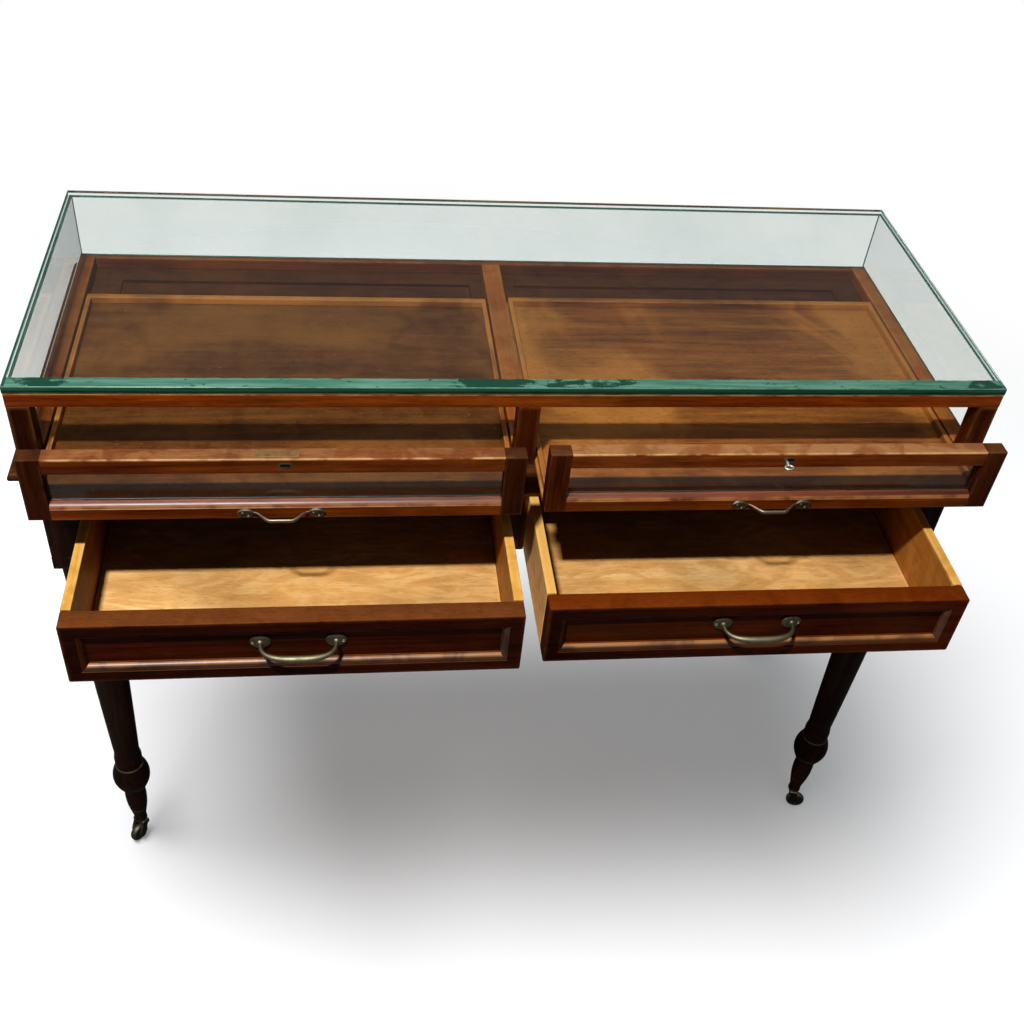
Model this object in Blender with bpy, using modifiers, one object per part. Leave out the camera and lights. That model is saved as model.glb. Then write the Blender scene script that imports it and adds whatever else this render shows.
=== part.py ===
import math

import bmesh
import bpy
from mathutils import Matrix, Vector

# Glass-topped shop display cabinet in metres, +Z up, front towards -Y.
# Depths are measured back from the front edge of the glass top.

# Clearances: between pieces that touch, and around a shaft that turns in its hole
GAP = 0.0003
RUNNING_CLEARANCE = 0.0001

# Glass top
TOP_WIDTH = 1.220
TOP_DEPTH = 0.472
TOP_THICK = 0.010
TOP_SIDE_OVERHANG = 0.0005
TOP_FRONT_OVERHANG = 0.0005
TOP_BACK_OVERHANG = 0.006

# Upper glazed case
POST_WIDTH = 0.0263
POST_DEPTH = 0.024
CENTRE_POST_WIDTH = 0.0274
TOP_RAIL_TALL = 0.0192
PANE_THICK = 0.006
SILL_TALL = 0.0162
BACK_SILL_DEPTH = 0.013

# Waist board: dust board with a round nose on the front and both ends, a sunk panel under each tray
WAIST_THICK = 0.0125
WAIST_NOSE = 0.0135
WAIST_NOSE_FLAT = 0.0008
WAIST_STILE = 0.055
WAIST_MUNTIN = 0.068
WAIST_BACK_RAIL = 0.046
WAIST_FRONT_RAIL = 0.060
WAIST_PANEL_SUNK = 0.004

# Lower drawer case
LOWER_SIDE_INSET = 0.008
LOWER_FRONT_INSET = 0.0091
LOWER_BACK_INSET = 0.004
FRIEZE_TALL = 0.0492
FRIEZE_THICK = 0.020
END_THICK = 0.018
END_SET_IN = 0.004
BACK_THICK = 0.016
PARTITION_WIDTH = 0.0284
FLOOR_THICK = 0.0107

# Legs
LEG_BLOCK = 0.066
LEG_BLOCK_FOOT = 0.0227
LEG_REBATE = 0.0113
LEG_TURNED_LENGTH = 0.610
LEG_TOP_SHY = 0.0012
LEG_ANKLE_RADIUS = 0.0188
LEG_ANKLE_HEIGHT = 0.179
LEG_TAPER_CURVE = 0.88
LEG_SINK = 0.008
ROUND_STEPS = 20

# Turnings below the taper: heights above the leg's end, radii, and the swell between
RING_TOP_HEIGHT = 0.172
RING_FOOT_HEIGHT = 0.149
RING_TOP_RADIUS = 0.0200
RING_FOOT_RADIUS = 0.0196
RING_SWELL_RADIUS = 0.0015
BULB_TOP_HEIGHT = 0.140
BULB_FOOT_HEIGHT = 0.078
BULB_TOP_RADIUS = 0.0203
BULB_FOOT_RADIUS = 0.0178
BULB_SWELL_RADIUS = 0.0103
VASE_TOP_HEIGHT = 0.072
VASE_FOOT_HEIGHT = 0.018
VASE_TOP_RADIUS = 0.0162
VASE_FOOT_RADIUS = 0.0116
VASE_SWELL_RADIUS = 0.0022
NECK_TOP_HEIGHT = 0.012
NECK_RADIUS = 0.0105
NECK_HOLLOW_RADIUS = 0.0006

# Casters
CROWN_THICK = 0.0107
STEM_RADIUS = 0.005
STEM_LENGTH = 0.020
PLATE_RADIUS = 0.0105
PLATE_THICK = 0.004
CHEEK_THICK = 0.0053
CHEEK_BELOW_AXLE = 0.006
CHEEK_ROUND = 0.005
FORK_DEPTH = 0.013
CROWN_CLEARANCE = 0.003
WHEEL_RADIUS = 0.016
WHEEL_WIDTH = 0.0112
WHEEL_SIDE_CLEARANCE = 0.0006
AXLE_RADIUS = 0.0025
CASTER_TRAIL = 0.009
SWIVEL_REST = {"front_left": -38.0, "front_right": 76.0, "rear_left": 24.0, "rear_right": -52.0}

# Display trays with glazed fronts, drawn out by the pull at rest
TRAY_CLEARANCE = 0.0004
TRAY_LIFT = 0.0005
TRAY_TALL = 0.0885
TRAY_TOP_CLEARANCE = 0.001
TRAY_BACK_CLEARANCE = 0.0025
TRAY_FRAME_THICK = 0.020
TRAY_STILE = 0.0255
TRAY_TOP_RAIL = 0.0205
TRAY_BOTTOM_RAIL = 0.0225
TRAY_RAIL_CHAMFER = 0.0075
TRAY_PANE_THICK = 0.003
TRAY_PANE_IN = 0.0095
TRAY_FLOOR_THICK = 0.006
TRAY_BACK_RIM_THICK = 0.009
TRAY_SIDE_RIM_THICK = 0.006
TRAY_RIM_SET_IN = 0.003
TRAY_LEFT_OUT_LENGTH = 0.0955
TRAY_RIGHT_OUT_LENGTH = 0.0908

# Drawers, drawn out by the pull at rest
DRAWER_CLEARANCE = 0.0006
DRAWER_TALL = 0.094
DRAWER_TOP_CLEARANCE = 0.0015
DRAWER_BACK_CLEARANCE = 0.0364
DRAWER_FRONT_THICK = 0.0264
DRAWER_SIDE = 0.012
DRAWER_FLOOR_THICK = 0.006
DRAWER_FLOOR_UP = 0.0012
DRAWER_MARGIN = 0.0165
DRAWER_MOULD = 0.008
DRAWER_LEFT_OUT_LENGTH = 0.2122
DRAWER_RIGHT_OUT_LENGTH = 0.2018

# Bow handles on the drawers
BOW_SPAN = 0.088
BOW_REACH = 0.031
BOW_DROOP = 0.003
BOW_RADIUS = 0.0024
BOW_SWELL = 1.55
BOW_SQUARENESS = 2.5
BOW_POINTS = 17
ROSE_RADIUS = 0.0105
ROSE_WIDTH = 0.0250
ROSE_THICK = 0.005

# Flat pulls on the trays
PULL_SPAN = 0.0815
PULL_REACH = 0.015
PULL_ARM = 0.018
PULL_RADIUS = 0.0020
PULL_ABOVE_EDGE = 0.0018
PULL_POINTS = 21
PAD_RADIUS = 0.0070
PAD_WIDTH = 0.0200
PAD_THICK = 0.003

# Key in the right tray's lock
KEY_OFFSET = 0.003
KEY_SHANK = 0.0018
KEY_DEPTH = 0.008
KEY_OUT = 0.009
KEY_BOW = 0.0060
KEY_WIRE = 0.0013
KEY_WIRE_STEPS = 12
KEY_BITE = 1.7 * KEY_WIRE

# Widths worked out from the sizes above
CASE_HALF = TOP_WIDTH / 2.0 - TOP_SIDE_OVERHANG
CASE_INNER = CASE_HALF - POST_WIDTH
TRAY_OUTER = CASE_INNER - TRAY_CLEARANCE
TRAY_INNER = CENTRE_POST_WIDTH / 2.0 + TRAY_CLEARANCE
LOWER_HALF = CASE_HALF - LOWER_SIDE_INSET
LEG_X = LOWER_HALF - LEG_BLOCK / 2.0
BAY_OUTER = LOWER_HALF - LEG_BLOCK + LEG_REBATE
DRAWER_OUTER = BAY_OUTER - DRAWER_CLEARANCE
DRAWER_INNER = PARTITION_WIDTH / 2.0 + DRAWER_CLEARANCE

# Heights worked out from the floor up
CASTER_HEIGHT = 2.0 * WHEEL_RADIUS + CROWN_CLEARANCE + CROWN_THICK + PLATE_THICK + GAP
BLOCK_BOTTOM = CASTER_HEIGHT + LEG_TURNED_LENGTH
LEDGE = BLOCK_BOTTOM + LEG_BLOCK_FOOT
DRAWER_BOTTOM = LEDGE + GAP
DRAWER_TOP = DRAWER_BOTTOM + DRAWER_TALL
FRIEZE_BOTTOM = DRAWER_TOP + DRAWER_TOP_CLEARANCE
LOWER_TOP = FRIEZE_BOTTOM + FRIEZE_TALL
WAIST_BOTTOM = LOWER_TOP + GAP
WAIST_TOP = WAIST_BOTTOM + WAIST_THICK
CASE_FOOT = WAIST_TOP + GAP
SILL_TOP = CASE_FOOT + SILL_TALL
TRAY_BOTTOM = WAIST_TOP + TRAY_LIFT
TRAY_TOP = TRAY_BOTTOM + TRAY_TALL
RAIL_BOTTOM = TRAY_TOP + TRAY_TOP_CLEARANCE
RAIL_TOP = RAIL_BOTTOM + TOP_RAIL_TALL
GLASS_BOTTOM = RAIL_TOP + GAP
BOTTOM_EDGE = LEDGE - FLOOR_THICK
PULL_HEIGHT = TRAY_BOTTOM + PULL_ABOVE_EDGE + PAD_RADIUS
KEY_HEIGHT = TRAY_TOP - TRAY_TOP_RAIL / 2.0
BOW_HEIGHT = DRAWER_TOP - DRAWER_MARGIN - DRAWER_MOULD - GAP - ROSE_RADIUS

# Depths worked out from the glass front edge
CASE_FRONT = TOP_FRONT_OVERHANG
CASE_BACK = TOP_DEPTH - TOP_BACK_OVERHANG
POST_BACK = CASE_FRONT + POST_DEPTH
BACK_SILL_FRONT = CASE_BACK - BACK_SILL_DEPTH
TRAY_LENGTH = BACK_SILL_FRONT - TRAY_BACK_CLEARANCE - CASE_FRONT
LOWER_FRONT = CASE_FRONT + LOWER_FRONT_INSET
LOWER_BACK = CASE_BACK - LOWER_BACK_INSET
CASE_BACK_FRONT = LOWER_BACK - BACK_THICK
DRAWER_LENGTH = CASE_BACK_FRONT - DRAWER_BACK_CLEARANCE - LOWER_FRONT
LEG_FRONT_Y = LOWER_FRONT + LEG_BLOCK / 2.0
LEG_REAR_Y = LOWER_BACK - LEG_BLOCK / 2.0
BETWEEN_LEGS = (LOWER_FRONT + LEG_BLOCK + GAP, LOWER_BACK - LEG_BLOCK - GAP)

# The origin is under the middle of the object as it stands with its drawers drawn out.
FRONT_MOST = (LOWER_FRONT - max(DRAWER_LEFT_OUT_LENGTH, DRAWER_RIGHT_OUT_LENGTH) + DRAWER_MOULD - GAP - BOW_REACH
              - BOW_RADIUS * BOW_SWELL)
SHIFT = -(FRONT_MOST + TOP_DEPTH) / 2.0


def make_material(name, colour, roughness, metallic=0.0, transmission=0.0):
    material = bpy.data.materials.new(name)
    material.use_nodes = True
    shader = material.node_tree.nodes["Principled BSDF"]
    shader.inputs["Base Color"].default_value = (*colour, 1.0)
    shader.inputs["Roughness"].default_value = roughness
    shader.inputs["Metallic"].default_value = metallic
    shader.inputs["Transmission Weight"].default_value = transmission
    return material


for old in list(bpy.data.objects):
    bpy.data.objects.remove(old, do_unlink=True)
cabinet = bpy.data.collections.new("display_cabinet")
bpy.context.scene.collection.children.link(cabinet)

MAHOGANY = make_material("mahogany", (0.155, 0.045, 0.014), 0.35)
LEG_WOOD = make_material("leg_wood", (0.030, 0.011, 0.006), 0.35)
TRAY_WOOD = make_material("tray_wood", (0.170, 0.062, 0.026), 0.45)
PINE = make_material("pine", (0.620, 0.360, 0.120), 0.50)
GLASS = make_material("glass", (0.620, 0.860, 0.760), 0.02, 0.0, 0.9)
BRASS = make_material("brass", (0.230, 0.190, 0.105), 0.35, 1.0)
CASTER = make_material("caster_metal", (0.060, 0.050, 0.040), 0.40, 0.8)
STEEL = make_material("key_steel", (0.560, 0.540, 0.480), 0.30, 1.0)


def shape_from(bm):
    bmesh.ops.recalc_face_normals(bm, faces=bm.faces)
    mesh = bpy.data.meshes.new("shape")
    bm.to_mesh(mesh)
    bm.free()
    return mesh


def evaluated(holder):
    # The object's finished shape as a plain welded mesh; the holder is removed.
    bpy.context.scene.collection.objects.link(holder)
    bpy.context.view_layer.update()
    graph = bpy.context.evaluated_depsgraph_get()
    mesh = bpy.data.meshes.new_from_object(holder.evaluated_get(graph))
    bpy.data.objects.remove(holder, do_unlink=True)
    bm = bmesh.new()
    bm.from_mesh(mesh)
    bmesh.ops.remove_doubles(bm, verts=bm.verts, dist=2e-6)
    bmesh.ops.dissolve_degenerate(bm, edges=bm.edges, dist=1e-6)
    return shape_from(bm)


def place(name, mesh, origin, material, parent=None, smooth=False):
    item = bpy.data.objects.new(name, mesh)
    mesh.name = name
    cabinet.objects.link(item)
    item.location = Vector(origin) - (parent.location if parent else Vector())
    item.parent = parent
    mesh.materials.clear()
    mesh.materials.append(material)
    if smooth:
        mesh.shade_smooth()
        mesh.set_sharp_from_angle(angle=math.radians(35.0))
    return item


def cube(low, high):
    low, high = Vector(low), Vector(high)
    bm = bmesh.new()
    bmesh.ops.create_cube(bm, size=1.0)
    bmesh.ops.scale(bm, vec=high - low, verts=bm.verts)
    bmesh.ops.translate(bm, vec=(low + high) / 2.0, verts=bm.verts)
    return bm


def board(name, low, high, material, parent=None):
    # One sawn board between two corners.
    low, high = Vector(low), Vector(high)
    middle = (low + high) / 2.0
    mesh = shape_from(cube(low - middle, high - middle))
    return place(name, mesh, middle + Vector((0.0, SHIFT, 0.0)), material, parent)


def both_ways(sign, near, far):
    # The span from near to far on one side of the middle, lowest first.
    return sorted((sign * near, sign * far))


def turned(profile, steps=ROUND_STEPS):
    # Turn a half profile of (radius, height), top to bottom, about Z.
    mesh = bpy.data.meshes.new("profile")
    points = [(radius, 0.0, height) for radius, height in profile]
    mesh.from_pydata(points, [(i, i + 1) for i in range(len(points) - 1)], [])
    holder = bpy.data.objects.new("profile", mesh)
    lathe = holder.modifiers.new("lathe", "SCREW")
    lathe.axis = "Z"
    lathe.steps = steps
    lathe.render_steps = steps
    lathe.use_merge_vertices = True
    lathe.merge_threshold = 0.00001
    return evaluated(holder)


def combine(mesh, others, operation="UNION"):
    # Exact Boolean of one mesh with others.
    base = bpy.data.objects.new("base", mesh)
    tools = []
    for other in others:
        tool = bpy.data.objects.new("tool", other)
        bpy.context.scene.collection.objects.link(tool)
        step = base.modifiers.new("join", "BOOLEAN")
        step.operation = operation
        step.solver = "EXACT"
        step.object = tool
        tools.append(tool)
    result = evaluated(base)
    for tool in tools:
        bpy.data.objects.remove(tool, do_unlink=True)
    return result


def rod(points, radius, widths):
    # Round bar along a run of points, with filled ends.
    curve = bpy.data.curves.new("rod", "CURVE")
    curve.dimensions = "3D"
    curve.bevel_depth = radius
    curve.bevel_resolution = 2
    curve.use_fill_caps = True
    spline = curve.splines.new("POLY")
    spline.points.add(len(points) - 1)
    for point, spot, width in zip(spline.points, points, widths):
        point.co = (*spot, 1.0)
        point.radius = width
    return evaluated(bpy.data.objects.new("rod", curve))


def moved(mesh, shift=(0.0, 0.0, 0.0), turn=0.0, axis="Z"):
    mesh.transform(Matrix.Translation(shift) @ Matrix.Rotation(turn, 4, axis))
    return mesh


def widened(mesh, share):
    # Make a round plate oval along X.
    mesh.transform(Matrix.Scale(share, 4, (1.0, 0.0, 0.0)))
    return mesh


def slider(name, x, y, z):
    # Empty on a sliding piece's own line of travel.
    empty = bpy.data.objects.new(name, None)
    empty.location = (x, y + SHIFT, z)
    cabinet.objects.link(empty)
    return empty


def build_top_case():
    half = TOP_WIDTH / 2.0
    board("glass_top", (-half, 0.0, GLASS_BOTTOM), (half, TOP_DEPTH, GLASS_BOTTOM + TOP_THICK), GLASS)
    board("front_top_rail", (-CASE_HALF, CASE_FRONT, RAIL_BOTTOM), (CASE_HALF, POST_BACK, RAIL_TOP), MAHOGANY)
    post_top = RAIL_BOTTOM - GAP
    middle_half = CENTRE_POST_WIDTH / 2.0
    for side, low, high in (("left", -CASE_HALF, -CASE_INNER),
                            ("centre", -middle_half, middle_half),
                            ("right", CASE_INNER, CASE_HALF)):
        board("front_post_" + side, (low, CASE_FRONT, CASE_FOOT), (high, POST_BACK, post_top), MAHOGANY)
    behind_post = POST_BACK + GAP
    pane_foot = SILL_TOP + GAP
    pane_inner = CASE_HALF - PANE_THICK
    for side, sign in (("left", -1.0), ("right", 1.0)):
        low, high = both_ways(sign, CASE_INNER, CASE_HALF)
        board("sill_" + side, (low, behind_post, CASE_FOOT), (high, CASE_BACK, SILL_TOP), MAHOGANY)
        low, high = both_ways(sign, pane_inner, CASE_HALF)
        board("end_pane_" + side, (low, behind_post, pane_foot), (high, CASE_BACK, RAIL_TOP), GLASS)
    sill_end = CASE_INNER - GAP
    board("sill_back", (-sill_end, BACK_SILL_FRONT, CASE_FOOT), (sill_end, CASE_BACK, SILL_TOP), MAHOGANY)
    pane_end = pane_inner - GAP
    board("back_pane", (-pane_end, CASE_BACK - PANE_THICK, pane_foot),
          (pane_end, CASE_BACK, RAIL_TOP), GLASS)
    board("tray_divider", (-middle_half, behind_post, CASE_FOOT),
          (middle_half, BACK_SILL_FRONT - GAP, SILL_TOP), MAHOGANY)


def build_waist():
    half = CASE_HALF + WAIST_NOSE
    low = Vector((-half, -WAIST_NOSE, WAIST_BOTTOM))
    high = Vector((half, CASE_BACK, WAIST_TOP))
    middle = (low + high) / 2.0
    bm = cube(low - middle, high - middle)
    back = high.y - middle.y
    nosed = []
    for edge in bm.edges:
        one, two = (vert.co for vert in edge.verts)
        level = abs(one.z - two.z) < GAP
        at_back = abs(one.y - back) < GAP and abs(two.y - back) < GAP
        if level and not at_back:
            nosed.append(edge)
    bmesh.ops.bevel(bm, geom=nosed, offset=(WAIST_THICK - WAIST_NOSE_FLAT) / 2.0, segments=4,
                    profile=0.5, affect="EDGES")
    cutters = []
    for sign in (-1.0, 1.0):
        left, right = both_ways(sign, WAIST_MUNTIN / 2.0, CASE_INNER - WAIST_STILE)
        cutters.append(shape_from(cube(
            Vector((left, WAIST_FRONT_RAIL, WAIST_TOP - WAIST_PANEL_SUNK)) - middle,
            Vector((right, CASE_BACK - WAIST_BACK_RAIL, WAIST_TOP + WAIST_PANEL_SUNK)) - middle)))
    mesh = combine(shape_from(bm), cutters, "DIFFERENCE")
    place("waist_board", mesh, middle + Vector((0.0, SHIFT, 0.0)), MAHOGANY)


def build_lower_case():
    reach = BAY_OUTER - GAP
    board("frieze_rail", (-reach, LOWER_FRONT, FRIEZE_BOTTOM),
          (reach, LOWER_FRONT + FRIEZE_THICK, LOWER_TOP), MAHOGANY)
    front, back = BETWEEN_LEGS
    outer = LOWER_HALF - END_SET_IN
    for side, sign in (("left", -1.0), ("right", 1.0)):
        low, high = both_ways(sign, outer - END_THICK, outer)
        board("end_panel_" + side, (low, front, BOTTOM_EDGE), (high, back, LOWER_TOP), MAHOGANY)
    leg_inner = LOWER_HALF - LEG_BLOCK - GAP
    board("case_back", (-leg_inner, CASE_BACK_FRONT, BOTTOM_EDGE), (leg_inner, LOWER_BACK, LOWER_TOP), MAHOGANY)
    half = PARTITION_WIDTH / 2.0
    board("drawer_partition", (-half, LOWER_FRONT, DRAWER_BOTTOM),
          (half, CASE_BACK_FRONT - GAP, FRIEZE_BOTTOM - GAP), MAHOGANY)
    floor_half = outer - END_THICK - GAP
    board("drawer_floor", (-floor_half, front, BOTTOM_EDGE), (floor_half, back, LEDGE), MAHOGANY)


def turning(top, foot, top_radius, foot_radius, swell, steps):
    # One turned member: straight between its two radii, with a half sine wave of swell added.
    points = []
    for step in range(steps + 1):
        share = step / steps
        radius = top_radius * (1.0 - share) + foot_radius * share + swell * math.sin(math.pi * share)
        points.append((radius, top * (1.0 - share) + foot * share))
    return points


def leg_profile():
    # Taper from the block down to the ankle, then the turnings, as (radius, height above the leg's end).
    top = LEG_BLOCK / 2.0 - LEG_TOP_SHY
    outline = []
    for share in (1.0, 0.75, 0.5, 0.25, 0.1, 0.0):
        radius = LEG_ANKLE_RADIUS + (top - LEG_ANKLE_RADIUS) * share ** LEG_TAPER_CURVE
        outline.append((radius, LEG_ANKLE_HEIGHT + (LEG_TURNED_LENGTH - LEG_ANKLE_HEIGHT) * share))
    outline += turning(RING_TOP_HEIGHT, RING_FOOT_HEIGHT, RING_TOP_RADIUS, RING_FOOT_RADIUS,
                       RING_SWELL_RADIUS, 3)
    outline += turning(BULB_TOP_HEIGHT, BULB_FOOT_HEIGHT, BULB_TOP_RADIUS, BULB_FOOT_RADIUS,
                       BULB_SWELL_RADIUS, 8)
    outline += turning(VASE_TOP_HEIGHT, VASE_FOOT_HEIGHT, VASE_TOP_RADIUS, VASE_FOOT_RADIUS,
                       VASE_SWELL_RADIUS, 5)
    outline += turning(NECK_TOP_HEIGHT, 0.0, NECK_RADIUS, NECK_RADIUS, -NECK_HOLLOW_RADIUS, 2)
    return outline


def build_leg(corner, sign_x, y):
    # Square block, rebated on its inner face for the drawer, over a turned tapering leg.
    bore = STEM_RADIUS + RUNNING_CLEARANCE
    outline = leg_profile()
    top = LEG_TURNED_LENGTH + LEG_SINK
    profile = [(0.0, top), (outline[0][0], top)] + outline
    profile += [(bore, 0.0), (bore, STEM_LENGTH + GAP), (0.0, STEM_LENGTH + GAP)]
    half = LEG_BLOCK / 2.0
    ledge = LEDGE - CASTER_HEIGHT
    block = shape_from(cube((-half, -half, LEG_TURNED_LENGTH), (half, half, ledge)))
    low, high = both_ways(sign_x, LEG_REBATE - half, half)
    upper = shape_from(cube((low, -half, LEG_TURNED_LENGTH + LEG_SINK),
                            (high, half, LOWER_TOP - CASTER_HEIGHT)))
    mesh = combine(block, [upper, turned(profile)])
    place("leg_" + corner, mesh, (sign_x * LEG_X, y + SHIFT, CASTER_HEIGHT), LEG_WOOD, None, True)


def build_caster(corner, sign_x, y):
    # Swivel fork with its stem in the leg, and a small wheel that trails behind the stem.
    turn = math.radians(SWIVEL_REST[corner])
    plate_top = CASTER_HEIGHT - GAP
    plate_low = plate_top - PLATE_THICK
    stem_top = CASTER_HEIGHT + STEM_LENGTH
    stem = turned([(0.0, stem_top), (STEM_RADIUS, stem_top), (STEM_RADIUS, plate_top),
                   (PLATE_RADIUS, plate_top), (PLATE_RADIUS, plate_low), (0.0, plate_low)])
    slot = WHEEL_WIDTH / 2.0 + WHEEL_SIDE_CLEARANCE
    half = slot + CHEEK_THICK
    deep = FORK_DEPTH / 2.0
    bm = cube((-half, -CASTER_TRAIL - deep, WHEEL_RADIUS - CHEEK_BELOW_AXLE),
              (half, deep, plate_low + PLATE_THICK / 2.0))
    foot_edges = [edge for edge in bm.edges
                  if all(vert.co.z < WHEEL_RADIUS for vert in edge.verts)
                  and abs(edge.verts[0].co.y - edge.verts[1].co.y) < GAP]
    bmesh.ops.bevel(bm, geom=foot_edges, offset=CHEEK_ROUND, segments=2, profile=0.5, affect="EDGES")
    crown = 2.0 * WHEEL_RADIUS + CROWN_CLEARANCE
    reach = CASTER_TRAIL + FORK_DEPTH
    wheel_slot = shape_from(cube((-slot, -reach, -WHEEL_RADIUS), (slot, reach, crown)))
    fork = combine(shape_from(bm), [wheel_slot], "DIFFERENCE")
    pin_end = slot + CHEEK_THICK / 2.0
    pin = turned([(0.0, pin_end), (AXLE_RADIUS, pin_end), (AXLE_RADIUS, -pin_end), (0.0, -pin_end)])
    moved(pin, (0.0, -CASTER_TRAIL, WHEEL_RADIUS), math.pi / 2.0, "Y")
    fork = moved(combine(fork, [stem, pin]), (0.0, 0.0, -CASTER_HEIGHT))
    moved(fork, turn=turn)
    place("caster_fork_" + corner, fork, (sign_x * LEG_X, y + SHIFT, CASTER_HEIGHT), BRASS, None, True)
    bore = AXLE_RADIUS + RUNNING_CLEARANCE
    side = WHEEL_WIDTH / 2.0
    rim = [(0.69, 1.0), (0.86, 0.85), (0.955, 0.5), (1.0, 0.18)]
    outline = [(WHEEL_RADIUS * far, side * wide) for far, wide in rim]
    outline += [(radius, -height) for radius, height in reversed(outline)]
    wheel = turned([(bore, side)] + outline + [(bore, -side), (bore, side)])
    moved(wheel, turn=math.pi / 2.0, axis="Y")
    moved(wheel, turn=turn)
    hub = Vector((CASTER_TRAIL * math.sin(turn), -CASTER_TRAIL * math.cos(turn), 0.0))
    place("caster_wheel_" + corner, wheel, Vector((sign_x * LEG_X, y + SHIFT, WHEEL_RADIUS)) + hub,
          CASTER, None, True)


def bow_handle(name, x, face, height, parent):
    # Two round roses and a squarish bow that swells at its middle.
    span = BOW_SPAN / 2.0
    power = 2.0 / BOW_SQUARENESS
    path = []
    widths = []
    for step in range(BOW_POINTS):
        angle = math.pi * step / (BOW_POINTS - 1)
        across = math.cos(angle)
        out = math.sin(angle) ** power
        path.append((-math.copysign(abs(across) ** power, across) * span,
                     -BOW_RADIUS - (BOW_REACH - BOW_RADIUS) * out, -BOW_DROOP * out))
        widths.append(1.0 + (BOW_SWELL - 1.0) * math.sin(angle) ** 3)
    roses = []
    for sign in (-1.0, 1.0):
        rose = turned([(0.0, ROSE_THICK), (ROSE_RADIUS * 0.4, ROSE_THICK * 0.92),
                       (ROSE_RADIUS * 0.72, ROSE_THICK * 0.62), (ROSE_RADIUS * 0.95, ROSE_THICK * 0.28),
                       (ROSE_RADIUS, ROSE_THICK * 0.1), (ROSE_RADIUS, 0.0), (0.0, 0.0)])
        widened(rose, ROSE_WIDTH / (2.0 * ROSE_RADIUS))
        roses.append(moved(rose, (sign * span, 0.0, 0.0), math.pi / 2.0, "X"))
    mesh = combine(rod(path, BOW_RADIUS, widths), roses)
    place(name, mesh, (x, face - GAP + SHIFT, height), BRASS, parent, True)


def tray_pull(name, x, face, height, parent):
    # Two small round pads joined by a thin bar that stands out on curved arms.
    span = PULL_SPAN / 2.0
    near = PULL_RADIUS + PAD_THICK * 0.2
    path = []
    for step in range(PULL_POINTS):
        across = span * (2.0 * step / (PULL_POINTS - 1) - 1.0)
        rise = min(max((span - abs(across) - PAD_WIDTH / 4.0) / PULL_ARM, 0.0), 1.0)
        rise = rise * rise * (3.0 - 2.0 * rise)
        path.append((across, -near - (PULL_REACH - near) * rise, 0.0))
    pads = []
    for sign in (-1.0, 1.0):
        pad = turned([(0.0, PAD_THICK), (PAD_RADIUS * 0.7, PAD_THICK * 0.9), (PAD_RADIUS, PAD_THICK * 0.4),
                      (PAD_RADIUS, 0.0), (0.0, 0.0)])
        widened(pad, PAD_WIDTH / (2.0 * PAD_RADIUS))
        pads.append(moved(pad, (sign * span, 0.0, 0.0), math.pi / 2.0, "X"))
    mesh = combine(rod(path, PULL_RADIUS, [1.0] * PULL_POINTS), pads)
    place(name, mesh, (x, face - GAP + SHIFT, height), BRASS, parent, True)


def build_key(name, x, face, height, parent):
    # Small key standing in the lock, its ring bow lying level.
    inner = KEY_DEPTH - GAP
    shank = turned([(0.0, KEY_OUT), (KEY_SHANK, KEY_OUT), (KEY_SHANK, -inner), (0.0, -inner)])
    moved(shank, turn=math.pi / 2.0, axis="X")
    circle = []
    for step in range(KEY_WIRE_STEPS + 1):
        angle = -2.0 * math.pi * step / KEY_WIRE_STEPS
        circle.append((KEY_BOW - KEY_WIRE + KEY_WIRE * math.cos(angle), KEY_WIRE * math.sin(angle)))
    bow = moved(turned(circle), (0.0, KEY_BITE - KEY_OUT - KEY_BOW, 0.0))
    place(name, combine(shank, [bow]), (x, face + SHIFT, height), STEEL, parent, True)


def bore_keyhole(rail, x, face, height):
    # Round hole in the lock rail for the key's shank.
    radius = KEY_SHANK + RUNNING_CLEARANCE
    hole = turned([(0.0, KEY_DEPTH), (radius, KEY_DEPTH), (radius, -KEY_DEPTH), (0.0, -KEY_DEPTH)])
    spot = Vector((x, face + SHIFT, height)) - rail.parent.location - rail.location
    moved(hole, spot, math.pi / 2.0, "X")
    solid = rail.data.copy()
    wood = rail.data.materials[0]
    rail.data = combine(solid, [hole], "DIFFERENCE")
    rail.data.materials.clear()
    rail.data.materials.append(wood)


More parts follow.
